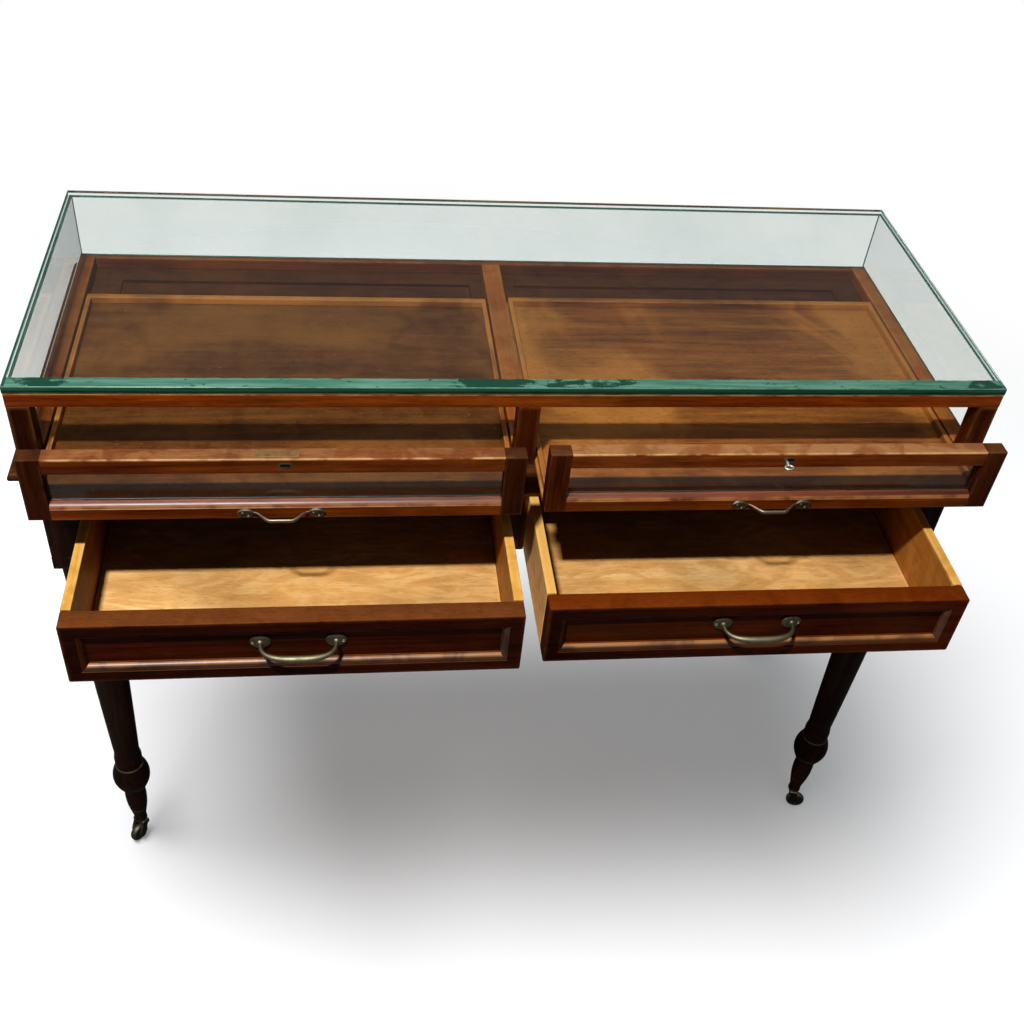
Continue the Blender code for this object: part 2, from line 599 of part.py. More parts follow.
def build_tray(side, sign, drawn_out):
    face = CASE_FRONT - drawn_out
    left, right = both_ways(sign, TRAY_INNER, TRAY_OUTER)
    middle = (left + right) / 2.0
    name = "tray_" + side + "_"
    move = slider(name + "slide", middle, face, TRAY_BOTTOM)
    back = face + TRAY_FRAME_THICK
    left_in = left + TRAY_STILE
    right_in = right - TRAY_STILE
    board(name + "stile_a", (left, face, TRAY_BOTTOM), (left_in, back, TRAY_TOP), MAHOGANY, move)
    board(name + "stile_b", (right_in, face, TRAY_BOTTOM), (right, back, TRAY_TOP), MAHOGANY, move)
    rail_low = TRAY_TOP - TRAY_TOP_RAIL
    top_rail = board(name + "top_rail", (left_in + GAP, face, rail_low),
                     (right_in - GAP, back, TRAY_TOP), MAHOGANY, move)
    rail_high = TRAY_BOTTOM + TRAY_BOTTOM_RAIL
    rail = board(name + "bottom_rail", (left_in + GAP, face, TRAY_BOTTOM),
                 (right_in - GAP, back, rail_high), MAHOGANY, move)
    bm = bmesh.new()
    bm.from_mesh(rail.data)
    sight_edge = [edge for edge in bm.edges
                  if all(vert.co.y < 0.0 and vert.co.z > 0.0 for vert in edge.verts)]
    bmesh.ops.bevel(bm, geom=sight_edge, offset=TRAY_RAIL_CHAMFER, segments=1, affect="EDGES")
    bm.to_mesh(rail.data)
    bm.free()
    pane_front = face + TRAY_PANE_IN
    board(name + "pane", (left_in + GAP, pane_front, rail_high + GAP),
          (right_in - GAP, pane_front + TRAY_PANE_THICK, rail_low - GAP), GLASS, move)
    rear = face + TRAY_LENGTH
    box_front = back + GAP
    floor_top = TRAY_BOTTOM + TRAY_FLOOR_THICK
    board(name + "bottom", (left, box_front, TRAY_BOTTOM), (right, rear, floor_top), TRAY_WOOD, move)
    low = Vector((left + TRAY_RIM_SET_IN, box_front, floor_top + GAP))
    high = Vector((right - TRAY_RIM_SET_IN, rear, SILL_TOP))
    centre = (low + high) / 2.0
    past = TRAY_BACK_RIM_THICK
    hollow = shape_from(cube(low - centre + Vector((TRAY_SIDE_RIM_THICK, -past, -past)),
                             high - centre + Vector((-TRAY_SIDE_RIM_THICK, -TRAY_BACK_RIM_THICK, past))))
    rim = combine(shape_from(cube(low - centre, high - centre)), [hollow], "DIFFERENCE")
    place(name + "rim", rim, centre + Vector((0.0, SHIFT, 0.0)), TRAY_WOOD, move)
    tray_pull(name + "handle", middle, face, PULL_HEIGHT, move)
    if side == "right":
        key_x = middle + KEY_OFFSET
        bore_keyhole(top_rail, key_x, face, KEY_HEIGHT)
        build_key(name + "key", key_x, face, KEY_HEIGHT, move)


def build_drawer(side, sign, drawn_out):
    face = LOWER_FRONT - drawn_out
    left, right = both_ways(sign, DRAWER_INNER, DRAWER_OUTER)
    middle = (left + right) / 2.0
    name = "drawer_" + side + "_"
    move = slider(name + "slide", middle, face, DRAWER_BOTTOM)
    back = face + DRAWER_FRONT_THICK
    front = board(name + "front", (left, face, DRAWER_BOTTOM), (right, back, DRAWER_TOP), MAHOGANY, move)
    bm = bmesh.new()
    bm.from_mesh(front.data)
    panel = [one for one in bm.faces if one.normal.y < -0.5]
    bmesh.ops.inset_individual(bm, faces=panel, thickness=DRAWER_MARGIN)
    bmesh.ops.inset_individual(bm, faces=panel, thickness=DRAWER_MOULD, depth=-DRAWER_MOULD)
    bm.to_mesh(front.data)
    bm.free()
    rear = face + DRAWER_LENGTH
    box_front = back + GAP
    left_in = left + DRAWER_SIDE
    right_in = right - DRAWER_SIDE
    board(name + "side_a", (left, box_front, DRAWER_BOTTOM), (left_in, rear, DRAWER_TOP), PINE, move)
    board(name + "side_b", (right_in, box_front, DRAWER_BOTTOM), (right, rear, DRAWER_TOP), PINE, move)
    floor_low = DRAWER_BOTTOM + DRAWER_FLOOR_UP
    floor_top = floor_low + DRAWER_FLOOR_THICK
    board(name + "bottom", (left_in + GAP, box_front, floor_low), (right_in - GAP, rear, floor_top), PINE, move)
    board(name + "back", (left_in + GAP, rear - DRAWER_SIDE, floor_top + GAP),
          (right_in - GAP, rear, DRAWER_TOP), PINE, move)
    bow_handle(name + "handle", middle, face + DRAWER_MOULD, BOW_HEIGHT, move)


build_top_case()
build_waist()
build_lower_case()
for corner, sign_x, depth in (("front_left", -1.0, LEG_FRONT_Y), ("front_right", 1.0, LEG_FRONT_Y),
                              ("rear_left", -1.0, LEG_REAR_Y), ("rear_right", 1.0, LEG_REAR_Y)):
    build_leg(corner, sign_x, depth)
    build_caster(corner, sign_x, depth)
build_tray("left", -1.0, TRAY_LEFT_OUT_LENGTH)
build_tray("right", 1.0, TRAY_RIGHT_OUT_LENGTH)
build_drawer("left", -1.0, DRAWER_LEFT_OUT_LENGTH)
build_drawer("right", 1.0, DRAWER_RIGHT_OUT_LENGTH)
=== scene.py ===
import math

import bmesh
import bpy
import numpy as np
from mathutils import Matrix, Vector


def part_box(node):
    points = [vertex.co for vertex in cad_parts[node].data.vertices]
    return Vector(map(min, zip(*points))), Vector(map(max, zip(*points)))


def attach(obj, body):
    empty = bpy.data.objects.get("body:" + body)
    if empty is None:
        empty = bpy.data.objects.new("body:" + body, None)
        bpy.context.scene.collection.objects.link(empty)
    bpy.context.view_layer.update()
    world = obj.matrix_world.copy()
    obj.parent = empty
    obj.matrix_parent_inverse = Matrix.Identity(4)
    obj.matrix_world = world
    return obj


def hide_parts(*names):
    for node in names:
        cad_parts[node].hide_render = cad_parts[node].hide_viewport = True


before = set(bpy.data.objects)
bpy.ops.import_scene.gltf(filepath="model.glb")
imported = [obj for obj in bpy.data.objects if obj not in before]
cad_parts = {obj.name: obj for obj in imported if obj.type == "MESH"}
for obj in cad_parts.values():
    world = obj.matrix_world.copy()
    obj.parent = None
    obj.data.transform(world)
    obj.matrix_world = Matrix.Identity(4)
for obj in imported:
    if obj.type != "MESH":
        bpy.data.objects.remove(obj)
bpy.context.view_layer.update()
print("frame loaded:", len(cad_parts), "nodes")


class Value:
    # An output socket. Arithmetic on it adds Math nodes.
    def __init__(self, finish, socket):
        self.finish = finish
        self.socket = socket

    def math(self, operation, *terms):
        return self.finish.node("ShaderNodeMath", {"operation": operation}, dict(enumerate(terms)))

    def __add__(self, other):
        return self.math("ADD", self, other)

    def __sub__(self, other):
        return self.math("SUBTRACT", self, other)

    def __rsub__(self, other):
        return self.math("SUBTRACT", other, self)

    def __mul__(self, other):
        return self.math("MULTIPLY", self, other)

    __radd__ = __add__
    __rmul__ = __mul__

    def highest(self, other):
        return self.math("MAXIMUM", self, other)

    def lowest(self, other):
        return self.math("MINIMUM", self, other)

    def size(self):
        return self.math("ABSOLUTE", self)

    def between(self, low, high):
        # Eases from 0 at low to 1 at high.
        sockets = {"Value": self, "From Min": low, "From Max": high}
        return self.finish.node("ShaderNodeMapRange", {"interpolation_type": "SMOOTHSTEP"}, sockets)


class Finish:
    # The node tree of a material or of the world.
    def __init__(self, owner):
        owner.use_nodes = True
        self.owner = owner
        self.nodes = owner.node_tree.nodes
        self.links = owner.node_tree.links
        self.nodes.clear()

    def node(self, kind, settings, sockets, output=0):
        made = self.nodes.new(kind)
        for key, value in settings.items():
            if key == "stops":
                self.setStops(made.color_ramp, value)
            else:
                setattr(made, key, value)
        for key, value in sockets.items():
            if isinstance(value, Value):
                self.links.new(value.socket, made.inputs[key])
            else:
                made.inputs[key].default_value = value
        return Value(self, made.outputs[output])

    def setStops(self, ramp, stops):
        while len(ramp.elements) < len(stops):
            ramp.elements.new(0.5)
        for element, (place, colour) in zip(ramp.elements, stops):
            element.position = place
            element.color = (*colour, 1.0)

    def place(self, scale, shift=(0.0, 0.0, 0.0)):
        # Object coordinates, scaled by one number or by one for each axis.
        spot = self.node("ShaderNodeTexCoord", {}, {}, "Object")
        sockets = {"Vector": spot, "Scale": tuple(np.broadcast_to(scale, 3)), "Location": shift}
        return self.node("ShaderNodeMapping", {}, sockets)

    def noise(self, scale, detail=3.0, rough=0.55, warp=0.0, shift=(0.0, 0.0, 0.0)):
        sockets = {"Vector": self.place(scale, shift), "Scale": 1.0, "Detail": detail,
                   "Roughness": rough, "Distortion": warp}
        return self.node("ShaderNodeTexNoise", {}, sockets)

    def part(self, vector, axis):
        return self.node("ShaderNodeSeparateXYZ", {}, {"Vector": vector}, axis)

    def ramp(self, value, stops):
        return self.node("ShaderNodeValToRGB", {"stops": stops}, {"Fac": value})

    def blend(self, share, first, second, way="MIX"):
        # Sockets 6 and 7 are the Mix node's colours, and output 2 is its colour result.
        pair = [colour if isinstance(colour, Value) else (*colour, 1.0) for colour in (first, second)]
        sockets = {0: share, 6: pair[0], 7: pair[1]}
        return self.node("ShaderNodeMix", {"data_type": "RGBA", "blend_type": way}, sockets, 2)

    def carried(self, name):
        # A number stored on the piece's own points.
        return self.node("ShaderNodeAttribute", {"attribute_name": name}, {}, "Fac")

    def facingUp(self):
        normal = self.node("ShaderNodeTexCoord", {}, {}, "Normal")
        return self.part(normal, "Z").between(0.35, 0.9)

    def bump(self, height, depth):
        return self.node("ShaderNodeBump", {}, {"Height": height, "Distance": depth, "Strength": 1.0})

    def ray(self, kind):
        return self.node("ShaderNodeLightPath", {}, {}, kind)

    def either(self, share, first, second):
        return self.node("ShaderNodeMixShader", {}, {0: share, 1: first, 2: second})

    def end(self, shown, kind="ShaderNodeOutputMaterial"):
        self.links.new(shown.socket, self.nodes.new(kind).inputs["Surface"])
        return self.owner

    def coat(self, colour, rough, others=()):
        # Ends in a Principled shader, whose other sockets are given by name.
        sockets = {"Base Color": colour, "Roughness": rough, **dict(others)}
        return self.end(self.node("ShaderNodeBsdfPrincipled", {}, sockets))


def newFinish(name):
    return Finish(bpy.data.materials.new(name))


def newItem(name, data):
    item = bpy.data.objects.new(name, data)
    bpy.context.scene.collection.objects.link(item)
    return item


# Camera, light and floor

camera = {
    "spot": (-0.22382, -1.27388, 1.79960),
    "down": 41.696,      # degrees below level
    "turn": 10.530,      # degrees to the right of straight in
    "tilt": -6.356,      # degrees about the line of sight
    "focal": 1196.28,    # in pixels of the picture
    "centre": (510.60, 514.84),
    "picture": 1024.0,
    "sensor": 36.0,
}


def aimCamera(look):
    # Columns of the camera's matrix: right, up and backwards, from the three angles.
    down, turn, tilt = (math.radians(look[key]) for key in ("down", "turn", "tilt"))
    ahead = np.array((math.sin(turn) * math.cos(down), math.cos(turn) * math.cos(down), -math.sin(down)))
    level = np.array((math.cos(turn), -math.sin(turn), 0.0))
    below = np.cross(ahead, level)
    right = level * math.cos(tilt) + below * math.sin(tilt)
    up = level * math.sin(tilt) - below * math.cos(tilt)
    data = bpy.data.cameras.new("photoCamera")
    data.sensor_width = look["sensor"]
    data.lens = look["sensor"] * look["focal"] / look["picture"]
    data.shift_x = 0.5 - look["centre"][0] / look["picture"]
    data.shift_y = look["centre"][1] / look["picture"] - 0.5
    item = newItem("photoCamera", data)
    axes = Matrix(np.stack([right, up, -ahead], 1).tolist()).to_4x4()
    item.matrix_world = Matrix.Translation(look["spot"]) @ axes
    bpy.context.scene.camera = item


lamps = {                    # the first two light only the cabinet, the last only the floor
    "key": {"spot": (-0.86, -1.50, 3.70), "aim": (-0.62, -0.10, 0.75), "size": (0.22, 0.12),
            "power": 154.0, "floor": "EXCLUDE"},
    "fill": {"spot": (0.05, 1.10, 3.30), "aim": (0.05, 0.10, 0.60), "size": (2.40, 2.00),
             "power": 22.0, "floor": "EXCLUDE"},
    "sky": {"spot": (-0.60, -0.32, 3.40), "aim": (-0.15, -0.15, 0.00), "size": (2.00, 2.40),
            "power": 215.0, "floor": "INCLUDE"},
}
surround = {"ambient": 0.06, "mirrored": 0.07, "seen": 1.0}
floorLook = {"colour": (0.80, 0.80, 0.81), "mirrored": (0.10, 0.10, 0.10), "lift": 0.22,
             "glow": (0.95, 1.0, 1.035), "solidTo": 1.4, "goneBy": 2.4, "half": 2.8}


def addLamp(name, look, floor):
    data = bpy.data.lights.new(name, "AREA")
    data.shape = "RECTANGLE"
    data.size, data.size_y = look["size"]
    data.energy = look["power"]
    item = newItem(name, data)
    away = Vector(look["aim"]) - Vector(look["spot"])
    item.location = look["spot"]
    item.rotation_euler = away.to_track_quat("-Z", "Y").to_euler()
    group = bpy.data.collections.new(name + "Floor")
    group.objects.link(floor)
    group.collection_objects[0].light_linking.link_state = look["floor"]
    item.light_linking.receiver_collection = group


def seenRay(finish, mirrored):
    # 1 for rays that look straight or through glass at the surroundings, less once they have been
    # reflected, 0 for those that gather light.
    direct = finish.ray("Is Camera Ray").highest(finish.ray("Is Transmission Ray"))
    bounced = finish.ray("Glossy Depth").lowest(1.0)
    return direct * (1.0 - bounced) + bounced * mirrored


def lightWorld(look):
    bpy.context.scene.world = bpy.data.worlds.new("studio")
    finish = Finish(bpy.context.scene.world)

    def white(strength):
        sockets = {"Color": (1.0, 1.0, 1.0, 1.0), "Strength": strength}
        return finish.node("ShaderNodeBackground", {}, sockets)

    shown = finish.either(seenRay(finish, look["mirrored"]), white(look["ambient"]), white(look["seen"]))
    finish.end(shown, "ShaderNodeOutputWorld")


def layFloor(look):
    # A pale floor that fades into the white surround away from the cabinet, and is clear from below.
    half = look["half"]
    mesh = bpy.data.meshes.new("floor")
    corners = [(-half, -half, 0.0), (half, -half, 0.0), (half, half, 0.0), (-half, half, 0.0)]
    mesh.from_pydata(corners, [], [(0, 1, 2, 3)])
    item = newItem("floor", mesh)
    finish = newFinish("paleFloor")

    def paint(colour):
        return finish.node("ShaderNodeBsdfDiffuse", {}, {"Color": (*colour, 1.0)})

    away = finish.node("ShaderNodeVectorMath", {"operation": "LENGTH"}, {0: finish.place(1.0)}, "Value")
    pale = paint(look["colour"])
    glow = finish.node("ShaderNodeEmission", {}, {"Color": (*look["glow"], 1.0), "Strength": look["lift"]})
    lifted = finish.node("ShaderNodeAddShader", {}, {0: pale, 1: glow})
    shown = finish.either(seenRay(finish, 0.0), pale, lifted)
    shown = finish.either(finish.ray("Glossy Depth").lowest(1.0), shown, paint(look["mirrored"]))
    clear = finish.node("ShaderNodeBsdfTransparent", {}, {})
    behind = finish.node("ShaderNodeNewGeometry", {}, {}, "Backfacing")
    gone = away.between(look["solidTo"], look["goneBy"]).highest(behind)
    mesh.materials.append(finish.end(finish.either(gone, shown, clear)))
    return item


aimCamera(camera)
lightWorld(surround)
floor = layFloor(floorLook)
for lampName, lampLook in lamps.items():
    addLamp(lampName, lampLook, floor)
bpy.context.scene.view_settings.view_transform = "Standard"
print("camera, lamps and floor set")


# Finishes

mahoganyLook = {
    "stops": [(0.33, (0.048, 0.0053, 0.0003)), (0.45, (0.126, 0.0176, 0.0008)),
              (0.55, (0.210, 0.0345, 0.0016)), (0.68, (0.332, 0.0730, 0.0050))],
    "streak": (2.6, 52.0),       # per metre, along the grain and across it
    "band": (7.0, 170.0),
    "fine": (24.0, 640.0),
    "pore": (95.0, 2300.0),
    "cloud": 7.0,
    "blotch": 0.45,              # the stain's scale as a share of the cloud's
    "patch": 26.0,
    "warp": 0.8,
    "figure": 0.0,               # share of soft waves across the grain
    "waves": (9.0, 26.0, 9.0),
    "cloudy": 1.5,
    "stain": (0.350, 0.105, 0.012),
    "stainShare": 0.25,
    "worn": (0.42, 0.170, 0.048),
    "faded": (0.30, 0.120, 0.036),
    "rough": 0.36,
    "gloss": 0.045,
    "patchy": 0.5,               # how far the patches break up the fading and painted sheen
    "speck": 0.0,                # share of small pale marks
    "specks": 330.0,
    "depth": 0.00025,
}
mouldLook = dict(mahoganyLook, rough=0.40, gloss=0.58, depth=0.00001)
frameLook = dict(mahoganyLook, worn=(0.55, 0.300, 0.120), faded=(0.29, 0.130, 0.048))
frontLook = dict(
    mahoganyLook, patchy=0.1, gloss=0.02,
    stops=[(0.33, (0.052, 0.0045, 0.0002)), (0.45, (0.134, 0.0145, 0.0004)),
           (0.55, (0.222, 0.0280, 0.0008)), (0.68, (0.345, 0.0620, 0.0034))],
    stain=(0.360, 0.080, 0.006), faded=(0.125, 0.020, 0.0012), worn=(0.24, 0.060, 0.008))
# The left drawer's front, its top paler and greyer: bloom on the varnish and a painted sheen
milkySheenFrontLook = dict(frontLook, faded=(0.134, 0.040, 0.0098))
legLook = dict(
    mahoganyLook, gloss=0.06, rough=0.42,
    stops=[(0.34, (0.006, 0.0014, 0.0004)), (0.50, (0.016, 0.0042, 0.0010)),
           (0.66, (0.036, 0.0100, 0.0026))],
    worn=(0.12, 0.078, 0.046), stain=(0.03, 0.010, 0.003))
trayLook = dict(
    mahoganyLook, streak=(2.2, 30.0), band=(6.0, 110.0), cloud=8.0, warp=1.4,
    stops=[(0.33, (0.030, 0.0060, 0.0010)), (0.45, (0.095, 0.0250, 0.0045)),
           (0.55, (0.165, 0.0490, 0.0090)), (0.68, (0.270, 0.0920, 0.0180))],
    stain=(0.390, 0.145, 0.030), stainShare=0.65, worn=(0.50, 0.230, 0.060), faded=(0.27, 0.095, 0.022),
    rough=0.42, speck=0.6, cloudy=0.9)
pineLook = dict(
    mahoganyLook, streak=(3.0, 20.0), band=(5.0, 70.0), fine=(12.0, 300.0), cloud=6.0, warp=2.8,
    stops=[(0.33, (0.460, 0.210, 0.058)), (0.44, (0.600, 0.315, 0.098)),
           (0.55, (0.680, 0.385, 0.138)), (0.68, (0.770, 0.490, 0.200))],
    stain=(0.500, 0.225, 0.055), worn=(0.74, 0.440, 0.120), faded=(0.640, 0.340, 0.075),
    figure=0.55, rough=0.50, gloss=0.10, patchy=0.2, depth=0.0001)
# Pine darker and more orange for the drawers' sides: a copy of the pine with painted shade
shadedPineLook = dict(
    pineLook, stain=(0.400, 0.125, 0.014), faded=(0.660, 0.330, 0.060),
    stops=[(0.33, (0.340, 0.105, 0.014)), (0.44, (0.460, 0.155, 0.024)),
           (0.55, (0.540, 0.200, 0.034)), (0.68, (0.640, 0.280, 0.060))])
woodWork = {                 # the same for every wood
    "noise": {               # detail and roughness, then distortion and shift where there are any
        "streak": (4.0, 0.55), "band": (3.0, 0.6, 0.5), "fine": (3.0, 0.65), "pore": (1.0, 0.5),
        "cloud": (3.0, 0.6), "blotch": (4.0, 0.6, 0.6, (3.1, 1.7, 0.4)),
        "patch": (3.0, 0.55, 0.8, (1.3, 0.2, 5.0)), "wave": (2.0, 0.5, 2.6, (0.4, 2.2, 0.9)),
        "speck": (1.0, 0.5),
    },
    "range": {               # noise values between which each effect comes in
        "pore": (0.60, 0.70), "stain": (0.48, 0.64), "wave": (0.44, 0.60), "fade": (0.36, 0.62),
        "rub": (0.28, 0.60), "speck": (0.76, 0.80),
    },
    "colour": (0.42, 0.34, 0.24),            # shares of streak, band and fibre
    "height": (0.6, 0.6, -0.8),              # of fibre, band and pore in the relief
    "fade": (0.6, 0.8), "rub": (0.4, 1.2),   # an even share and one that follows the fibre
    "patchGain": 1.6, "poreDark": 0.35, "cloudRough": 0.20, "poreRough": 0.12,
}


def weighed(shares, *values):
    # The sum of each value times its share.
    return sum(value * share for share, value in zip(shares, values))


def woodFinish(name, look, grain):
    # Streaks, bands, fibres and pores are noises stretched along the grain. Round noises cloud the varnish
    # and stain it, tops fade in patches by how far they face up, partly as a painted sheen, and rubbed
    # edges go pale.
    finish = newFinish(name)
    work, noise, limits = woodWork, woodWork["noise"], woodWork["range"]

    def along(key, *warp):
        run, cross = look[key]
        return finish.noise([run if axis == grain else cross for axis in "xyz"], *noise[key], *warp)

    streak, band, fine = along("streak", look["warp"]), along("band"), along("fine")
    pore = along("pore").between(*limits["pore"])
    cloud = finish.noise(look["cloud"], *noise["cloud"])
    blotch = finish.noise(look["cloud"] * look["blotch"], *noise["blotch"])
    patch = finish.noise(look["patch"], *noise["patch"])
    colour = finish.ramp(weighed(work["colour"], streak, band, fine), look["stops"])
    colour = finish.blend(blotch.between(*limits["stain"]) * look["stainShare"], colour, look["stain"])
    if look["figure"]:
        wave = finish.noise(look["waves"], *noise["wave"])
        colour = finish.blend(wave.between(*limits["wave"]) * look["figure"], colour, look["stain"])
    clouded = finish.carried("tone") * (1.0 + look["cloudy"] * (cloud - 0.5))
    colour = finish.blend(1.0, colour, clouded * (1.0 - work["poreDark"] * pore), "MULTIPLY")
    # Upward faces take the faded colour: faded varnish and a painted sheen together
    up = finish.facingUp() * finish.carried("fade") * weighed(work["fade"], 1.0, fine)
    up = up * (1.0 - look["patchy"] + look["patchy"] * work["patchGain"] * patch.between(*limits["fade"]))
    colour = finish.blend(up, colour, look["faded"])
    rubbed = finish.carried("wear") * patch.between(*limits["rub"]) * weighed(work["rub"], 1.0, fine)
    colour = finish.blend(rubbed, colour, look["worn"])
    if look["speck"]:
        speck = finish.noise(look["specks"], *noise["speck"]).between(*limits["speck"])
        colour = finish.blend(speck * look["speck"], colour, look["worn"])
    rough = look["rough"] + (cloud - 0.5) * work["cloudRough"] + pore * work["poreRough"]
    normal = finish.bump(weighed(work["height"], fine, band, pore), look["depth"])
    return finish.coat(colour, rough, {"Normal": normal, "Specular IOR Level": look["gloss"]})


# Below, a noise is its scale, detail and roughness, and its distortion where there is any
glassLook = {
    "clear": (0.945, 0.982, 0.966), "dull": (0.90, 0.950, 0.930), "shade": (0.90, 0.94, 0.92),
    "smear": ((9.0, 2.6, 9.0), 4.0, 0.6), "dullRange": (0.45, 0.75), "bending": 1.5,
}
frontEdgeLook = {
    "deep": (0.001, 0.011, 0.006), "green": (0.005, 0.044, 0.020), "bright": (0.014, 0.082, 0.037),
    "pale": (0.09, 0.22, 0.15), "rough": 0.14, "cloudRough": 0.2,
    "streak": ((5.0, 5.0, 700.0), 3.0, 0.6, 0.3), "cloud": ((24.0, 24.0, 60.0), 3.0, 0.6),
    "brightRange": (0.42, 0.58), "paleRange": (0.25, 0.6),
    "deepRange": (0.9566, 0.9520),               # heights of the painted shadow at the foot
}
paneEdgeLook = dict(
    frontEdgeLook, deep=(0.002, 0.016, 0.011), green=(0.006, 0.040, 0.027), bright=(0.012, 0.075, 0.050),
    pale=(0.03, 0.10, 0.07), rough=0.20, deepRange=(0.9506, 0.9460))
filmLook = {
    "film": (0.042, 0.156, 0.108), "pale": (0.138, 0.280, 0.220), "flake": (0.0010, 0.048, 0.027),
    "lump": ((48.0, 95.0, 20.0), 2.0, 0.5, 0.5), "ragged": ((420.0, 700.0, 50.0), 4.0, 0.7),
    "speck": ((620.0, 620.0, 60.0), 1.0, 0.5), "streak": ((9.0, 160.0, 40.0), 4.0, 0.6),
    "cut": ((70.0, 70.0, 20.0), 4.0, 0.65),
    "shares": (0.62, 0.38, 0.21),                # of lump, ragged edge and patch in the flakes
    "flakeRange": (0.605, 0.625), "speckGain": 0.10, "speckRange": (0.72, 0.75), "paleRange": (0.35, 0.7),
    "cutShare": 0.55, "cutRange": (0.86, 0.80), "rough": (0.32, 0.25),
    "patchRange": (1.25, 0.45),                  # in half lengths
    "patches": [             # place along the front, half length, strength
        (-0.567, 0.030, 0.8), (-0.042, 0.048, 1.3), (0.045, 0.034, 0.8), (0.100, 0.040, 0.7),
        (0.588, 0.024, 0.8)],
}
groundLook = {"colours": ((0.62, 0.68, 0.66), (0.42, 0.50, 0.47)), "noise": ((300.0, 5.0, 300.0), 3.0, 0.6),
              "rough": (0.45, 0.3), "gloss": 0.5}
# Painted shade: the near-black of the sheet that stands for the keyhole's dark inside
keyholeShadowLook = {"colours": ((0.004, 0.003, 0.002), (0.012, 0.008, 0.005)), "noise": (500.0, 3.0, 0.6),
            "rough": (0.6, 0.3), "gloss": 0.0}


def glassFinish(name, look):
    # Clear glass with faint smears. Rays that only gather light pass straight through it.
    finish = newFinish(name)
    smear = finish.noise(*look["smear"]).between(*look["dullRange"])
    tint = finish.blend(smear, look["clear"], look["dull"])
    sockets = {"Base Color": tint, "Roughness": 0.0, "IOR": look["bending"], "Transmission Weight": 1.0}
    pane = finish.node("ShaderNodeBsdfPrincipled", {}, sockets)
    through = finish.node("ShaderNodeBsdfTransparent", {}, {"Color": (*look["shade"], 1.0)})
    lit = finish.either(finish.ray("Is Shadow Ray"), pane, through)
    return finish.end(finish.either(finish.ray("Is Diffuse Ray"), lit, through))


def glassEdgeFinish(name, look):
    # Edge of plate glass: nearly black at its foot as painted shadow of the gap, green streaks above,
    # pale on the ground arrises, where the pale is also a painted highlight.
    finish = newFinish(name)
    height = finish.part(finish.place(1.0), "Z")
    streak, cloud = finish.noise(*look["streak"]), finish.noise(*look["cloud"])
    colour = finish.blend(streak.between(*look["brightRange"]), look["green"], look["bright"])
    # Painted shadow at the foot; pale arrises that are ground glass and painted highlight together
    colour = finish.blend(height.between(*look["deepRange"]), colour, look["deep"])
    colour = finish.blend(finish.carried("wear") * cloud.between(*look["paleRange"]), colour, look["pale"])
    return finish.coat(colour, look["rough"] + look["cloudRough"] * cloud)


def filmFinish(name, look):
    # Old sealing film under the glass. Dark flakes are lumps of noise with ragged edges, gathered in
    # patches, and its back edge is eaten away by another noise.
    finish = newFinish(name)
    across = finish.part(finish.place(1.0), "X")
    far, close = look["patchRange"]
    near = 0.0
    for spot, reach, strength in look["patches"]:
        patch = (across - spot).size().between(reach * far, reach * close) * strength
        near = patch.highest(near)
    names = ("lump", "ragged", "speck", "streak", "cut")
    lump, ragged, speck, streak, cut = (finish.noise(*look[key]) for key in names)
    broken = weighed(look["shares"], lump, ragged, near).between(*look["flakeRange"])
    broken = broken.highest((speck + near * look["speckGain"]).between(*look["speckRange"]))
    colour = finish.blend(streak.between(*look["paleRange"]), look["film"], look["pale"])
    colour = finish.blend(broken, colour, look["flake"])
    kept = (finish.carried("wear") + cut * look["cutShare"]).between(*look["cutRange"])
    rough = weighed(look["rough"], 1.0, ragged)
    return finish.coat(colour, rough, {"Alpha": kept, "Specular IOR Level": 0.0})


def mottledFinish(name, look):
    # Two colours mixed by a noise that roughens them too.
    finish = newFinish(name)
    noise = finish.noise(*look["noise"])
    colour = finish.blend(noise, *look["colours"])
    return finish.coat(colour, weighed(look["rough"], 1.0, noise), {"Specular IOR Level": look["gloss"]})


brassLook = {
    "bright": (0.290, 0.250, 0.150), "dull": (0.150, 0.125, 0.068), "grime": (0.030, 0.024, 0.012),
    "cloud": (110.0, 4.0, 0.62), "speck": (900.0, 2.0, 0.6), "dullRange": (0.30, 0.70), "rub": (0.35, 0.9),
    "rough": 0.36, "cloudRough": 0.25, "speckRough": 0.10, "speckHeight": 0.6, "depth": 0.00012,
}
pewterLook = dict(brassLook, bright=(0.330, 0.270, 0.195), dull=(0.120, 0.096, 0.066),
                  grime=(0.024, 0.019, 0.013), rough=0.33)
casterLook = dict(brassLook, bright=(0.180, 0.160, 0.120), dull=(0.050, 0.042, 0.032),
                  grime=(0.014, 0.012, 0.010))
plateLook = dict(brassLook, bright=(0.460, 0.310, 0.150), dull=(0.330, 0.195, 0.085),
                 grime=(0.210, 0.115, 0.045), rough=0.46)
keyLook = dict(brassLook, bright=(0.820, 0.800, 0.740), dull=(0.520, 0.500, 0.440),
               grime=(0.160, 0.150, 0.120), rough=0.24)


def metalFinish(name, look):
    # Tarnish in clouds, grime in the hollows between, rubbed bright where hands reach.
    finish = newFinish(name)
    cloud, speck = finish.noise(*look["cloud"]), finish.noise(*look["speck"])
    colour = finish.blend(cloud.between(*look["dullRange"]), look["grime"], look["dull"])
    rubbed = finish.carried("wear") * weighed(look["rub"], 1.0, cloud)
    colour = finish.blend(rubbed, colour, look["bright"])
    rough = look["rough"] + look["cloudRough"] * (1.0 - cloud) + look["speckRough"] * speck
    normal = finish.bump(speck * look["speckHeight"] + cloud, look["depth"])
    return finish.coat(colour, rough, {"Metallic": 1.0, "Normal": normal})


